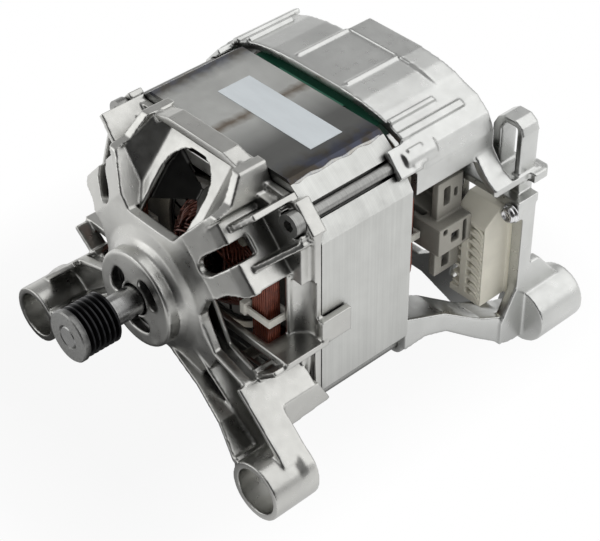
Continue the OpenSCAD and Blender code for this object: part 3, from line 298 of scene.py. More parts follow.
def heat_tint(f, rgb, tone, cloud):
    """The stack's top: smoother, darker to the right, with a brown seam and burnt edges along the welds."""
    on_top = f.math("GREATER_THAN", f.axis("Z"), STACK_TOP)
    tone = f.mix(f.both(on_top, 0.8), tone, cloud)
    warm = f.both(f.ramp(f.axis("X"), (0.0, 0.0), (20 * MM, 1.0)), on_top)
    tone = f.mix(f.both(warm, 0.92), tone, shade(rgb, 0.2))
    ragged = f.both(f.math("SUBTRACT", f.noise(4 * MM, 3), 0.5), 4 * MM)
    off = f.math("ABSOLUTE", f.math("SUBTRACT", f.axis("X"), SEAM_X))
    seam = f.ramp(f.math("ADD", off, ragged), (0.8 * MM, 1.0), (3.2 * MM, 0.0))
    tone = f.mix(f.both(f.both(seam, on_top), 0.8), tone, SEAM_BROWN)
    edge = f.math("SUBTRACT", WELD_X, f.math("ABSOLUTE", f.axis("X")))
    burnt = f.ramp(f.math("ADD", edge, ragged), (4.5 * MM, 1.0), (9.5 * MM, 0.0))
    temper = f.ramp(f.noise(7 * MM, 2), (0.42, BURNT_BROWN), (0.6, BURNT_BLUE))
    return f.mix(f.both(f.both(burnt, on_top), 0.85), tone, temper)


def turned_steel(name, rgb, low, high, groove):
    """Turned or ground metal: fine rings round the shaft's axis."""
    f = Finish(name, Metallic=1.0)
    rings = f.noise(groove, 3, stretch=(40, 1, 40))
    f.colour(f.ramp(rings, (0.3, shade(rgb, 0.82)), (0.7, shade(rgb, 1.1))))
    f.roughness(f.noise(3 * MM, 3), low, high)
    f.bump(rings, 0.12, 0.1 * MM)
    return f.material


def plastic(name, rgb, low=0.38, high=0.55, speck=0.06, dust_and_shade=0.0):
    """Moulded plastic: slight clouding, a fine spark-eroded grain and brush dust with painted shade in its
    recesses.
    """
    f = Finish(name)
    tone = f.ramp(f.noise(12 * MM, 3), (0.3, shade(rgb, 1 - speck)), (0.7, shade(rgb, 1 + speck)))
    tone = f.mix(f.edges(0.53, 0.62), tone, shade(rgb, 1.12))
    # Brush dust and painted shade: darker in recesses found by ambient occlusion
    if dust_and_shade:
        tone = f.mix(f.both(f.hollows(25 * MM, 0.3, 0.85), dust_and_shade), tone, shade(rgb, 0.06))
    f.colour(tone)
    f.roughness(f.noise(2 * MM, 3), low, high)
    f.bump(f.noise(0.6 * MM, 2), 0.14, 0.1 * MM)
    return f.material


def enamelled_wire(name, dark, light):
    """Copper wire under varnish: red-brown with a clear coat and uneven lacquer."""
    f = Finish(name, Metallic=0.75, Coat_Weight=0.6, Coat_Roughness=0.12)
    f.colour(f.ramp(f.noise(3.5 * MM, 4), (0.25, dark), (0.75, light)))
    f.roughness(f.noise(2 * MM, 3), 0.24, 0.42)
    f.bump(f.noise(0.9 * MM, 2), 0.15, 0.15 * MM)
    return f.material


def pulley_finish(name):
    """Black oxide with a machined grey front face."""
    f = Finish(name, Metallic=0.85)
    rings = f.noise(0.5 * MM, 3, stretch=(40, 1, 40))
    black = f.ramp(rings, (0.3, (0.012, 0.012, 0.013)), (0.7, (0.03, 0.03, 0.032)))
    front = f.ramp(f.axis("Y"), (0.0, 1.0), (0.6 * MM, 0.0))
    grey = f.ramp(f.noise(1 * MM, 3), (0.3, (0.22, 0.22, 0.215)), (0.7, (0.32, 0.32, 0.31)))
    f.colour(f.mix(front, black, grey))
    f.roughness(f.noise(2 * MM, 3), 0.25, 0.4)
    f.bump(rings, 0.1, 0.1 * MM)
    return f.material


def label_film(name, rgb):
    """Bare satin label film with faint smears."""
    f = Finish(name)
    smear = f.noise(6 * MM, 3, stretch=(4, 1, 1))
    f.colour(f.ramp(smear, (0.3, shade(rgb, 0.95)), (0.7, shade(rgb, 1.04))))
    f.roughness(f.noise(3 * MM, 2), 0.3, 0.42)
    f.bump(f.noise(1 * MM, 2), 0.06, 0.1 * MM)
    return f.material


def weld_finish(name):
    """Weld bead: bright ripples with straw and blue temper colours."""
    f = Finish(name, Metallic=1.0)
    temper = f.noise(6 * MM, 3)
    f.colour(f.ramp(temper, (0.3, (0.16, 0.17, 0.22)), (0.5, (0.42, 0.42, 0.41)), (0.7, (0.3, 0.27, 0.23))))
    f.roughness(f.noise(1 * MM, 2), 0.22, 0.36)
    f.bump(f.noise(0.8 * MM, 2), 0.2, 0.2 * MM)
    return f.material


finishes = {
    "front_cast": cast_metal("front_alloy", (0.555, 0.553, 0.53), 0.6, shaded_pocket_wall=True),
    "cast": cast_metal("cast_alloy", (0.61, 0.615, 0.6), 0.5),
    "stack": laminated_steel("stack_sheets", (0.6, 0.605, 0.585), heat_tinted=True),
    "core": laminated_steel("armature_sheets", (0.40, 0.39, 0.365)),
    "cream": plastic("cream_plastic", (0.82, 0.79, 0.68)),
    "frame": plastic("frame_plastic", (0.6, 0.56, 0.46), dust_and_shade=0.95),
    "green": plastic("green_plastic", (0.035, 0.2, 0.12), dust_and_shade=0.6),
    "nylon": plastic("white_nylon", (0.78, 0.76, 0.69), 0.3, 0.45),
    "olive": plastic("grey_plastic", (0.4, 0.385, 0.34), dust_and_shade=0.7),
    "black": plastic("black_plastic", (0.03, 0.03, 0.032)),
    "carbon": plastic("carbon", (0.035, 0.035, 0.037), 0.5, 0.7, 0.2),
    "magnet": plastic("magnet", (0.06, 0.06, 0.062), 0.45, 0.6, 0.15),
    "wire": enamelled_wire("field_wire", (0.11, 0.025, 0.014), (0.31, 0.078, 0.04)),
    "winding": enamelled_wire("armature_wire", (0.1, 0.025, 0.015), (0.2, 0.056, 0.03)),
    "copper": turned_steel("commutator_copper", (0.62, 0.32, 0.19), 0.25, 0.4, 0.4 * MM),
    "brass": turned_steel("tinned_brass", (0.66, 0.6, 0.42), 0.25, 0.4, 0.4 * MM),
    "shaft": turned_steel("shaft_steel", (0.34, 0.34, 0.335), 0.2, 0.34, 0.4 * MM),
    "bearing": turned_steel("bearing_steel", (0.5, 0.5, 0.5), 0.15, 0.28, 0.4 * MM),
    "spring": turned_steel("spring_steel", (0.42, 0.42, 0.42), 0.25, 0.4, 0.3 * MM),
    "zinc": turned_steel("zinc_steel", (0.32, 0.32, 0.31), 0.25, 0.42, 0.6 * MM),
    "chrome": turned_steel("bright_screw", (0.74, 0.74, 0.75), 0.14, 0.26, 0.6 * MM),
    "pulley": pulley_finish("pulley_oxide"),
    "label": label_film("label_film", (0.74, 0.79, 0.82)),
    "weld": weld_finish("weld_bead"),
}
slot_finish = {
    "cast_alu": "cast", "stack_steel": "stack", "cream_plastic": "cream", "green_plastic": "green",
    "copper_dark": "winding", "copper_wire": "wire", "white_nylon": "nylon", "zinc_steel": "zinc",
    "tin_brass": "brass", "bright_screw": "chrome", "grey_plastic": "olive", "spring_steel": "spring",
    "carbon": "carbon", "bearing_steel": "bearing", "black_plastic": "black", "label_paper": "label",
    "shaft_steel": "shaft", "pulley_black": "pulley", "armature_steel": "core",
    "commutator_copper": "copper", "magnet_dark": "magnet",
}


def dress_nodes():
    """Gives every node of the frame the finish of its material slot."""
    for part in frame["record"]["subparts"]:
        mesh = nodes[part["node"]].data
        mesh.materials.clear()
        mesh.materials.append(finishes[slot_finish[part["material_slot"]]])


dress_nodes()


# Mesh helpers


def add_piece(name, vertices, faces, finish, body, smooth=True):
    """One piece of the scene, which moves with this body and wears this finish."""
    mesh = bpy.data.meshes.new(name)
    mesh.from_pydata([tuple(v) for v in vertices], [], [tuple(int(i) for i in f) for f in faces])
    mesh.validate()
    mesh.polygons.foreach_set("use_smooth", [smooth] * len(mesh.polygons))
    mesh.materials.append(finishes[finish])
    piece = bpy.data.objects.new(name, mesh)
    bpy.context.scene.collection.objects.link(piece)
    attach(piece, body)
    return piece


# Any direction that no tube starts along
TUBE_SIDE = (0.37, 0.21, 0.9)


def sweep(points, radius, sides, start):
    """Vertices and faces of a closed round tube along these points; start is its first vertex's number."""
    path = np.asarray(points, float)
    ahead = np.gradient(path, axis=0)
    ahead /= np.linalg.norm(ahead, axis=1)[:, None]
    side = np.cross(ahead[0], TUBE_SIDE)
    rings = []
    for place, direction in zip(path, ahead):
        side = side - direction * (side @ direction)
        side = side / np.linalg.norm(side)
        other = np.cross(direction, side)
        angles = np.linspace(0, 2 * math.pi, sides, endpoint=False)
        rings.append(place + radius * (np.outer(np.cos(angles), side) + np.outer(np.sin(angles), other)))
    faces = []
    for k in range(len(path) - 1):
        for s in range(sides):
            a = start + k * sides + s
            b = start + k * sides + (s + 1) % sides
            faces.append((a, b, b + sides, a + sides))
    last = start + (len(path) - 1) * sides
    faces.append(tuple(start + s for s in reversed(range(sides))))
    faces.append(tuple(last + s for s in range(sides)))
    return np.concatenate(rings), faces


def add_tubes(name, paths, radius, sides, finish, body):
    """One piece of several tubes."""
    vertices, faces, count = [], [], 0
    for path in paths:
        rings, tube_faces = sweep(path, radius, sides, count)
        vertices.append(rings)
        faces += tube_faces
        count += len(rings)
    return add_piece(name, np.concatenate(vertices), faces, finish, body)


def relax(mesh, rounds, share=0.5):
    """Moves each vertex part of the way to the middle of its neighbours, to round the edges."""
    count = len(mesh.vertices)
    place = np.empty(count * 3)
    mesh.vertices.foreach_get("co", place)
    place = place.reshape(-1, 3)
    edges = np.empty(len(mesh.edges) * 2, int)
    mesh.edges.foreach_get("vertices", edges)
    a, b = edges.reshape(-1, 2).T
    degree = np.bincount(np.concatenate((a, b)), minlength=count)[:, None]
    for _ in range(rounds):
        total = np.zeros_like(place)
        for axis in range(3):
            total[:, axis] = np.bincount(a, place[b, axis], count) + np.bincount(b, place[a, axis], count)
        place += share * (total / degree - place)
    mesh.vertices.foreach_set("co", place.ravel())
    mesh.update()


def ring_solid(x, z, profile, sides=48):
    """Vertices and faces of a ring round an axis along Y; profile gives its radii and Y at each angle."""
    vertices, faces = [], []
    count = len(profile(0))
    for k in range(sides):
        a = 2 * math.pi * k / sides
        for r, y in profile(a):
            vertices.append((x + r * math.cos(a), y, z + r * math.sin(a)))
        here, ahead = count * k, count * ((k + 1) % sides)
        for i in range(count):
            j = (i + 1) % count
            faces.append((here + i, here + j, ahead + j, ahead + i))
    return vertices, faces


def prism_solid(outline, y0, y1):
    """Vertices and faces of a prism along Y over an outline of X and Z."""
    count = len(outline)
    vertices = [(x, y, z) for y in (y0, y1) for x, z in outline]
    faces = [list(range(count)), [count + i for i in reversed(range(count))]]
    faces += [[i, count + i, count + (i + 1) % count, (i + 1) % count] for i in range(count)]
    return vertices, faces


BOX_FACES = ((0, 1, 3, 2), (4, 6, 7, 5), (0, 4, 5, 1), (2, 3, 7, 6), (0, 2, 6, 4), (1, 5, 7, 3))


def box_solid(low, high):
    """Vertices and faces of a plain box from two opposite corners."""
    xs, ys, zs = zip(low, high)
    return [(x, y, z) for x in xs for y in ys for z in zs], [list(face) for face in BOX_FACES]


def box_mesh(boxes):
    """Mesh of plain boxes, each from two opposite corners."""
    vertices, faces = [], []
    for low, high in boxes:
        base = len(vertices)
        corners, sides = box_solid(low, high)
        vertices += corners
        faces += [[base + i for i in side] for side in sides]
    mesh = bpy.data.meshes.new("boxes")
    mesh.from_pydata(vertices, [], faces)
    return mesh


def soften(name, sources, finish, voxel, rounds, keep, extras=(), cuts=()):
    """A stator piece with rounded edges for these nodes: their solids, joined, remeshed and relaxed."""
    vertices, faces = [], []
    for more_vertices, more_faces in extras:
        base = len(vertices)
        vertices += more_vertices
        faces += [[base + i for i in f] for f in more_faces]
    for source in sources:
        mesh = nodes[source].data
        base = len(vertices)
        vertices += [v.co[:] for v in mesh.vertices]
        faces += [[base + i for i in p.vertices] for p in mesh.polygons]
    piece = add_piece(name, vertices, faces, finish, "stator")
    cutter = None
    if cuts:
        cutter = bpy.data.objects.new("cutter", box_mesh(cuts))
        bpy.context.scene.collection.objects.link(cutter)
        bore = piece.modifiers.new("holes", "BOOLEAN")
        bore.object = cutter
        bore.solver = "EXACT"
        bore.use_self = True
    remesh = piece.modifiers.new("skin", "REMESH")
    remesh.mode = "VOXEL"
    remesh.voxel_size = voxel
    remesh.use_smooth_shade = True
    settle(piece)
    if cutter:
        old = cutter.data
        bpy.data.objects.remove(cutter)
        bpy.data.meshes.remove(old)
    relax(piece.data, rounds)
    thin = piece.modifiers.new("thin", "DECIMATE")
    thin.ratio = keep
    settle(piece)
    piece.data.polygons.foreach_set("use_smooth", [True] * len(piece.data.polygons))
    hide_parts(*sources)


def settle(piece):
    """Applies the piece's modifiers to its mesh."""
    depsgraph = bpy.context.evaluated_depsgraph_get()
    made = bpy.data.meshes.new_from_object(piece.evaluated_get(depsgraph))
    piece.modifiers.clear()
    old = piece.data
    piece.data = made
    bpy.data.meshes.remove(old)


# Castings and moulded pieces with rounded edges

SIDES = (("left", -1), ("right", 1))
FLARE = 0.9 * MM
LEG_TURN = 20
BACKING_DEPTH = 2.8 * MM
# Where a leg's lower rib runs on into the tube, in millimetres out and up from the tube's middle
RIB_ROOT = ((-14.2, 8.2), (-13.9, 6.3), (-11.0, 4.0), (-9.0, 7.4), (-11.4, 9.0))


def foot_backing(side, sign):
    """Flared ring behind a front foot tube, where the leg's plate closes round it, and the rib's root."""
    low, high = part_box(f"front_foot_{side}")
    x, z = (low.x + high.x) / 2, (low.z + high.z) / 2
    outer = (high.z - low.z) / 2
    inner = outer - 2.5 * MM
    start, full, end = high.y - 6.5 * MM, high.y - 1.5 * MM, high.y + BACKING_DEPTH

    def profile(a):
        towards_leg = math.cos(a - math.radians(90 + sign * LEG_TURN))
        flare = outer + FLARE * min(1, max(0, (towards_leg + 0.2) / 0.6))
        return (inner, start), (outer - 0.3 * MM, start), (flare, full), (flare, end), (inner, end)

    ring = ring_solid(x, z, profile)
    root = [(x + sign * out * MM, z + up * MM) for out, up in RIB_ROOT]
    return [ring, prism_solid(root, low.y + 0.7 * MM, end)]


def terminal_backing():
    """Thin web behind the terminal block, out to the post."""
    low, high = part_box("terminal_block")
    return box_solid((high.x - 5 * MM, high.y + 0.35 * MM, low.z),
                     (high.x + 3 * MM, high.y + 1.8 * MM, high.z - 2 * MM))


# Holes in a brush holder: from and to, in millimetres from its outer end, its front and the shaft's height
HOLDER_HOLES = (
    ((-3.2, 7.0, -2.6), (1.0, 11.4, 2.0)), ((-3.0, 13.4, -5.2), (1.0, 15.6, 5.0)),
    ((-3.0, 2.2, 3.0), (1.0, 4.6, 5.6)),
    ((-10.0, 7.6, 12.0), (-4.0, 11.2, 20.4)), ((-10.0, 13.4, 14.0), (-4.0, 15.4, 18.0)),
    ((-10.0, 8.2, -19.0), (-4.0, 12.4, -13.0)), ((-24.0, 3.0, 3.0), (-12.0, 6.0, 12.0)),
)


def holder_cuts(side, sign):
    """Boxes of a brush holder's holes, each from two opposite corners."""
    low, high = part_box(f"brush_holder_{side}")
    end = max(abs(low.x), abs(high.x))
    boxes = []
    for hole in HOLDER_HOLES:
        first, last = [(sign * (end + x * MM), low.y + y * MM, z * MM) for x, y, z in hole]
        x0, x1 = sorted((first[0], last[0]))
        boxes.append(((x0, *first[1:]), (x1, *last[1:])))
    return boxes


backings = [solid for side, sign in SIDES for solid in foot_backing(side, sign)]
soften("front_casting", ("front_shield", "front_foot_left", "front_foot_right"), "front_cast",
       voxel=0.5 * MM, rounds=4, keep=0.4, extras=backings)
soften("rear_casting", ("rear_shield", "rear_foot_left", "rear_foot_right"), "cast",
       voxel=0.5 * MM, rounds=4, keep=0.4)
for side, sign in SIDES:
    soften(f"brush_box_{side}", (f"brush_holder_{side}",), "olive",
           voxel=0.35 * MM, rounds=3, keep=0.3, cuts=holder_cuts(side, sign))
soften("front_frame", ("front_insulator",), "frame", voxel=0.4 * MM, rounds=4, keep=0.3)
soften("rear_frame", ("rear_insulator",), "green", voxel=0.4 * MM, rounds=3, keep=0.3)
soften("tie_bands", ("cable_ties",), "nylon", voxel=0.2 * MM, rounds=4, keep=0.3)
soften("terminal_housing", ("terminal_block",), "cream",
       voxel=0.3 * MM, rounds=3, keep=0.3, extras=[terminal_backing()])

# Field coils: layers of wire on a rounded rectangular route round each pole

WIRE_D = 1.0 * MM
WIRE_SIDES = 7
WOBBLE = 0.07 * MM
LAYER_STEP = 0.96 * MM
TURN_STEP = 1.12 * MM
COIL_LAYERS = 7
CORNER_R = 7.6 * MM
CORNER_STEPS = 5


def coil_loop(low, high, inset):
    """Y and Z of one loop's points, at this inset from the coil's outer box."""
    r = max(CORNER_R - inset, 0.9 * WIRE_D)
    y0, y1 = low.y + inset, high.y - inset
    z0, z1 = low.z + inset, high.z - inset
    corners = ((y0 + r, z1 - r, 180), (y1 - r, z1 - r, 90), (y1 - r, z0 + r, 0), (y0 + r, z0 + r, -90))
    points = []
    for y, z, angle in corners:
        for k in range(CORNER_STEPS + 1):
            a = math.radians(angle - 90 * k / CORNER_STEPS)
            points.append((y + r * math.cos(a), z + r * math.sin(a)))
    return points


def wound_coil(side, sign):
    """Field coil of one pole: one tube of slightly uneven turns for each layer."""
    low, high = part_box(f"field_winding_{side}")
    x0 = min(abs(low.x), abs(high.x)) + WIRE_D / 2
    x1 = max(abs(low.x), abs(high.x)) - WIRE_D / 2
    turns = int((x1 - x0) / TURN_STEP)
    step = (x1 - x0) / turns
    paths = []
    for layer in range(COIL_LAYERS):
        loop = coil_loop(low, high, WIRE_D / 2 + layer * LAYER_STEP)
        path = []
        for turn in range(turns):
            for k, (y, z) in enumerate(loop):
                x = x0 + step * (turn + k / len(loop))
                wobble = [random.uniform(-WOBBLE, WOBBLE) for _ in range(3)]
                path.append((sign * (x + wobble[0]), y + wobble[1], z + wobble[2]))
        paths.append(path)
    coil = add_tubes(f"wound_coil_{side}", paths, WIRE_D / 2, WIRE_SIDES, "wire", "stator")
    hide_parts(f"field_coil_{side}", f"field_winding_{side}")


for side, sign in SIDES:
    wound_coil(side, sign)

# Armature: end turns as bundles from slot to slot, and straight wires in the slots

SLOTS = 22
SLOT_R = 22 * MM
SLOT_SPAN = 9
STRANDS = 4
STRAND_R = 0.62 * MM
STRAND_SIDES = 6
STRAND_STEP = 1.1 * MM
WAIST_R = 12.2 * MM
BOW_STEPS = 24


def strand_r(strand):
    """Radius at which a strand lies in its slot."""
    return SLOT_R + (strand - (STRANDS - 1) / 2) * STRAND_STEP


def end_turn_paths(face_y, out, depth):
    """Wires that leave a slot at face_y, run round the shaft and go into another slot; out is -1 or 1."""
    paths = []
    for slot in range(SLOTS):
        for strand in range(STRANDS):
            a0 = 2 * math.pi * slot / SLOTS
            a1 = a0 + 2 * math.pi * SLOT_SPAN / SLOTS
            lift = depth * (0.55 + 0.4 * ((slot * 7) % SLOTS) / SLOTS) - strand * 1.2 * MM
            waist = WAIST_R + (1.5 * strand + 1.2 * ((slot * 5) % 3)) * MM
            path = []
            for k in range(BOW_STEPS + 1):
                t = k / BOW_STEPS
                bow = math.sin(math.pi * t) ** 0.7
                r = SLOT_R + (strand_r(strand) - SLOT_R) * (1 - bow) - (SLOT_R - waist) * bow ** 2
                a = a0 + (a1 - a0) * (t + 0.06 * math.sin(2 * math.pi * t))
                y = face_y + out * lift * min(1.0, 1.5 * bow)
                path.append((r * math.cos(a), y, r * math.sin(a)))
            paths.append(path)
    return paths


def wound_armature():
    """The armature's wires, within the space of the plain winding."""
    low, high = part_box("armature_winding")
    core_low, core_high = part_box("armature_core")
    depth_front = core_low.y - low.y - STRAND_R
    depth_rear = high.y - core_high.y - STRAND_R
    paths = end_turn_paths(core_low.y, -1, depth_front) + end_turn_paths(core_high.y, 1, depth_rear)
    for slot in range(SLOTS):
        a = 2 * math.pi * slot / SLOTS
        for strand in range(STRANDS):
            r = strand_r(strand)
            middle_y = (core_low.y + core_high.y) / 2
            paths.append([(r * math.cos(a), y, r * math.sin(a)) for y in (core_low.y, middle_y, core_high.y)])
    wires = add_tubes("armature_wires", paths, STRAND_R, STRAND_SIDES, "winding", "rotor")
    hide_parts("armature_winding")


wound_armature()

# Terminal block: curved ribs across its openings and a row of teeth along its edge

CONTACTS = 8
PIN_T = 0.8 * MM
RIB_R = 0.72 * MM
RIB_SIDES = 8
# A rib's points, in millimetres from the block's left side and from its contact's height
RIB_LINE = ((10.4, 1.6), (11.8, 1.5), (13.2, 1.1), (14.4, 0.4), (15.4, -0.5), (16.1, -1.7))
TOOTH_TIP = 1.0 * MM
TOOTH_ROOT = 5.6 * MM
TOOTH_HALF = 1.1 * MM
TOOTH_FRONT = 0.4 * MM
TOOTH_BACK = 4.3 * MM


def terminal_details():
    """Ribs and teeth of the terminal block, two ribs and one tooth at each contact."""
    low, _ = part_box("terminal_block")
    pin_low, pin_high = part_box("terminal_pins")
    heights = np.linspace(pin_low.z + PIN_T / 2, pin_high.z - PIN_T / 2, CONTACTS)
    half_pitch = (heights[1] - heights[0]) / 2
    ribs = []
    for z in heights:
        for drop in (0.0, half_pitch):
            ribs.append([(low.x + dx * MM, low.y + RIB_R * 0.8, z + dz * MM - drop) for dx, dz in RIB_LINE])
    add_tubes("terminal_ribs", ribs, RIB_R, RIB_SIDES, "cream", "stator")
    vertices, faces = [], []
    for z in heights:
        base = len(vertices)
        tip, root = low.x + TOOTH_TIP, low.x + TOOTH_ROOT
        for y in (low.y + TOOTH_FRONT, low.y + TOOTH_BACK):
            vertices += [(tip, y, z + TOOTH_HALF * 0.6), (root, y, z - TOOTH_HALF), (root, y, z + TOOTH_HALF)]
        faces += [(base, base + 1, base + 2), (base + 3, base + 5, base + 4)]
        faces += [(base + i, base + 3 + i, base + 3 + (i + 1) % 3, base + (i + 1) % 3) for i in range(3)]
    add_piece("terminal_teeth", vertices, faces, "cream", "stator", smooth=False)


terminal_details()

# Earth screw: a domed head with a round recess, on a washer and a shank

SCREW_SIDES = 40
# The head's outline: radius as a share of the washer's, and millimetres behind the head's front
HEAD_LINE = ((0.45, 0.75), (0.5, 0.1), (0.66, 0.25), (0.8, 0.8), (0.86, 1.7), (0.86, 2.4),
             (0.97, 2.5), (1.0, 2.75), (1.0, 3.3), (0.47, 3.4))
SHANK_SHARE = 0.47


def lathe(profile, x, z, sides):
    """Vertices and faces of a solid turned about an axis along Y through x and z; profile is (r, y) pairs."""
    vertices, faces = [], []
    for k in range(sides):
        a = 2 * math.pi * k / sides
        vertices += [(x + r * math.cos(a), y, z + r * math.sin(a)) for r, y in profile]
    rows = len(profile)
    for k in range(sides):
        here, ahead = k * rows, (k + 1) % sides * rows
        faces += [(here + i, here + i + 1, ahead + i + 1, ahead + i) for i in range(rows - 1)]
    faces.append(tuple(k * rows for k in range(sides)))
    faces.append(tuple(k * rows + rows - 1 for k in reversed(range(sides))))
    return vertices, faces


def screw_head():
    """The earth screw, turned in the plain screw's space."""
    low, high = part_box("earth_screw")
    x, z = (low.x + high.x) / 2, (low.z + high.z) / 2
    wide = (high.x - low.x) / 2
    profile = [(share * wide, low.y + behind * MM) for share, behind in HEAD_LINE]
    profile.append((SHANK_SHARE * wide, high.y))
    vertices, faces = lathe(profile, x, z, SCREW_SIDES)
    head = add_piece("screw_head", vertices, faces, "chrome", "stator")
    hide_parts("earth_screw")


screw_head()

# Weld beads along the stack's rounded edges

BEAD_X = 40.6 * MM
EDGE_R = 67.2 * MM
BEAD_Z = math.sqrt(EDGE_R ** 2 - BEAD_X ** 2)
BEAD_PITCH = 9.0 * MM
BEAD_END = 0.8 * MM
BEAD_SUNK = 0.15 * MM
BEAD_WANDER = 0.28 * MM
BEAD_ROWS = 110
BEAD_SIDES = 8


def weld_bead(name, x, z):
    """Rippled bead along the shaft's direction on the stack's edge at this place."""
    low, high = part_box("stator_stack")
    out = np.array((x, 0, z)) / math.hypot(x, z)
    across = np.array((-out[2], 0, out[0]))
    vertices, faces = [], []
    wide = BEAD_SIDES + 1
    for k in range(BEAD_ROWS + 1):
        share = k / BEAD_ROWS
        y = low.y + BEAD_END + share * (high.y - low.y - 2 * BEAD_END)
        ripple = math.sin(2 * math.pi * (y - low.y) / BEAD_PITCH)
        taper = min(1.0, 12 * share + 0.2, 12 * (1 - share) + 0.2)
        half = (0.62 + 0.12 * ripple) * taper * MM
        height = (0.34 + 0.06 * ripple) * taper * MM
        middle = np.array((x, y, z)) + across * BEAD_WANDER * math.sin(23.0 * share + x * 400)
        for j in range(wide):
            a = math.pi * j / BEAD_SIDES
            vertices.append(middle + across * half * math.cos(a) + out * (height * math.sin(a) - BEAD_SUNK))
        if k:
            base = (k - 1) * wide
            for j in range(base, base + BEAD_SIDES):
                faces.append((j, j + 1, j + 1 + wide, j + wide))
            faces.append((base + BEAD_SIDES, base, base + wide, base + wide + BEAD_SIDES))
    faces.append(tuple(range(wide)))
    faces.append(tuple(BEAD_ROWS * wide + j for j in reversed(range(wide))))
    add_piece(name, vertices, faces, "weld", "stator")


for bead, (sign_x, sign_z) in enumerate(((1, 1), (-1, 1), (1, -1), (-1, -1))):
    weld_bead(f"weld_bead_{bead}", sign_x * BEAD_X, sign_z * BEAD_Z)

# Studio: pale floor, a bright room and three soft lamps

FLOOR_HALF = 4.0
FLOOR_CELLS = 4
FLOOR_GAP = 0.2 * MM
# Shade on the floor: a rectangle under the part that fades out over its reach
SHADE_MID_X = -30 * MM
SHADE_HALF_X = 50 * MM
SHADE_MID_Y = 90 * MM
SHADE_HALF_Y = 85 * MM
SHADE_REACH = 75 * MM
# Floor's brightness in the shade, as the camera sees it and as the part mirrors it
UNDER_SEEN = 0.93
UNDER_MIRRORED = 0.06
# Directions of the room and the floor that are dark in mirrored light
DARK_SIDE = (0.84, -0.5, 0.24)
DARK_FLOOR = (0.6, -0.74)
LAMP_TARGET = Vector((0, 100, 0)) * MM


def make_floor():
    """Pale floor: white to the camera but for a faint shade under the part, and dark there in reflections."""
    z = cad_bounds[0][2] - FLOOR_GAP
    row = FLOOR_CELLS + 1
    steps = np.linspace(-FLOOR_HALF, FLOOR_HALF, row)
    vertices = [(x, y, z) for y in steps for x in steps]
    corners = [row * j + i for j in range(FLOOR_CELLS) for i in range(FLOOR_CELLS)]
    faces = [(c, c + 1, c + 1 + row, c + row) for c in corners]
    mesh = bpy.data.meshes.new("floor")
    mesh.from_pydata(vertices, [], faces)
    f = Finish("floor_white", Roughness=0.9)
    f.colour(f.ramp(f.noise(0.4, 2), (0.3, 0.9), (0.7, 0.94)))
    off_x = f.math("ABSOLUTE", f.math("SUBTRACT", f.axis("X"), SHADE_MID_X))
    off_x = f.math("MAXIMUM", f.math("SUBTRACT", off_x, SHADE_HALF_X), 0)
    off_y = f.math("ABSOLUTE", f.math("SUBTRACT", f.axis("Y"), SHADE_MID_Y))
    off_y = f.math("MAXIMUM", f.math("SUBTRACT", off_y, SHADE_HALF_Y), 0)
    away = f.math("SQRT", f.math("ADD", f.math("POWER", off_x, 2), f.math("POWER", off_y, 2)))
    open_share = f.ramp(f.math("DIVIDE", away, SHADE_REACH), (0.0, 0.0), (0.5, 0.32), (1.0, 1.0))
    seen = f.math("ADD", f.both(open_share, 1 - UNDER_SEEN), UNDER_SEEN)
    mirrored = f.math("ADD", f.both(open_share, 1 - UNDER_MIRRORED), UNDER_MIRRORED)
    toward = f.math("ADD", f.both(f.axis("X"), DARK_FLOOR[0]), f.both(f.axis("Y"), DARK_FLOOR[1]))
    mirrored = f.both(mirrored, f.ramp(toward, (60 * MM, 1.0), (300 * MM, 0.15)))
    rays = f.node("ShaderNodeLightPath").outputs
    level = f.math("ADD", f.both(rays["Is Camera Ray"], seen), f.both(rays["Is Glossy Ray"], mirrored))
    glow = f.node("ShaderNodeEmission")
    f.link(level, glow.inputs["Strength"])
    straight = f.math("MAXIMUM", rays["Is Camera Ray"], rays["Is Glossy Ray"])
    mix = f.node("ShaderNodeMixShader")
    f.link(straight, mix.inputs["Fac"])
    f.link(f.shader.outputs["BSDF"], mix.inputs[1])
    f.link(glow.outputs["Emission"], mix.inputs[2])
    f.link(mix.outputs["Shader"], f.tree.nodes["Material Output"].inputs["Surface"])
    mesh.materials.append(f.material)
    floor = bpy.data.objects.new("floor", mesh)
    bpy.context.scene.collection.objects.link(floor)


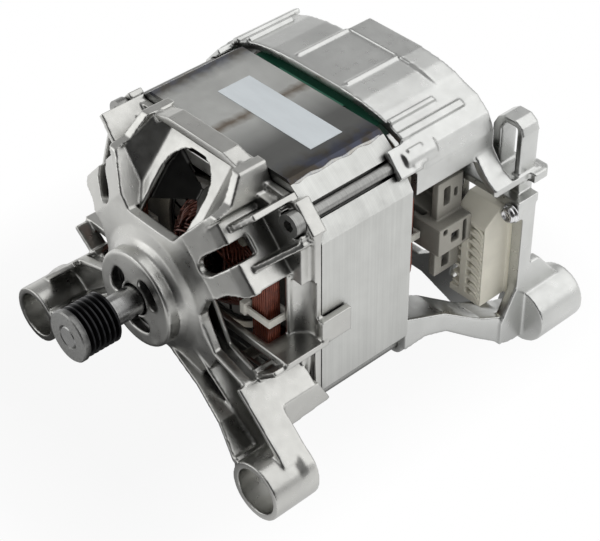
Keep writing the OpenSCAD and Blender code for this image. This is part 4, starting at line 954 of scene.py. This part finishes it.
def make_room():
    """World light: white at the horizon, greyer overhead, dark towards one side of the camera."""
    world = bpy.data.worlds.new("studio")
    bpy.context.scene.world = world
    world.use_nodes = True
    tree = world.node_tree

    def ramp(source, *stops):
        made = tree.nodes.new("ShaderNodeValToRGB")
        tree.links.new(source, made.inputs["Fac"])
        set_stops(made, stops)
        return made.outputs["Color"]

    place = tree.nodes.new("ShaderNodeTexCoord").outputs["Generated"]
    split = tree.nodes.new("ShaderNodeSeparateXYZ")
    tree.links.new(place, split.inputs["Vector"])
    sky = ramp(split.outputs["Z"], (0.0, 0.97), (0.2, 0.9), (0.5, 0.44), (1.0, 0.36))
    facing = tree.nodes.new("ShaderNodeVectorMath")
    facing.operation = "DOT_PRODUCT"
    tree.links.new(place, facing.inputs[0])
    facing.inputs[1].default_value = Vector(DARK_SIDE).normalized()
    dim = ramp(facing.outputs["Value"], (0.42, 1.0), (0.78, 0.06))
    mix = tree.nodes.new("ShaderNodeMix")
    mix.data_type = "RGBA"
    mix.blend_type = "MULTIPLY"
    mix.inputs[0].default_value = 1.0
    tree.links.new(sky, mix.inputs[6])
    tree.links.new(dim, mix.inputs[7])
    tree.links.new(mix.outputs[2], tree.nodes["Background"].inputs["Color"])


def make_lamp(name, direction, across, distance, width, height, level, mirrored=True):
    """Soft lamp whose face has this brightness, with its width along across; mirrored: metal shows it."""
    data = bpy.data.lights.new(name, "AREA")
    data.shape = "RECTANGLE"
    data.size = width
    data.size_y = height
    data.energy = level * math.pi * width * height
    lamp = bpy.data.objects.new(name, data)
    way = Vector(direction).normalized()
    side = (Vector(across) - way * way.dot(Vector(across))).normalized()
    turn = Matrix((side, way.cross(side), way)).transposed().to_4x4()
    lamp.matrix_world = Matrix.Translation(LAMP_TARGET + way * distance) @ turn
    lamp.visible_glossy = mirrored
    bpy.context.scene.collection.objects.link(lamp)


make_floor()
make_room()
make_lamp("softbox", (0.34, 0.52, 0.78), (-0.92, 0, 0.4), distance=1.1, width=2.1, height=0.9, level=1.05)
make_lamp("fill", (-0.57, -0.7, 0.43), (0.78, -0.63, 0), distance=1.4, width=0.9, height=0.9, level=1.0)
make_lamp("front", (0.72, -0.5, 0.48), (0.57, 0.82, 0), distance=1.2, width=0.8, height=0.6, level=2.2,
          mirrored=False)
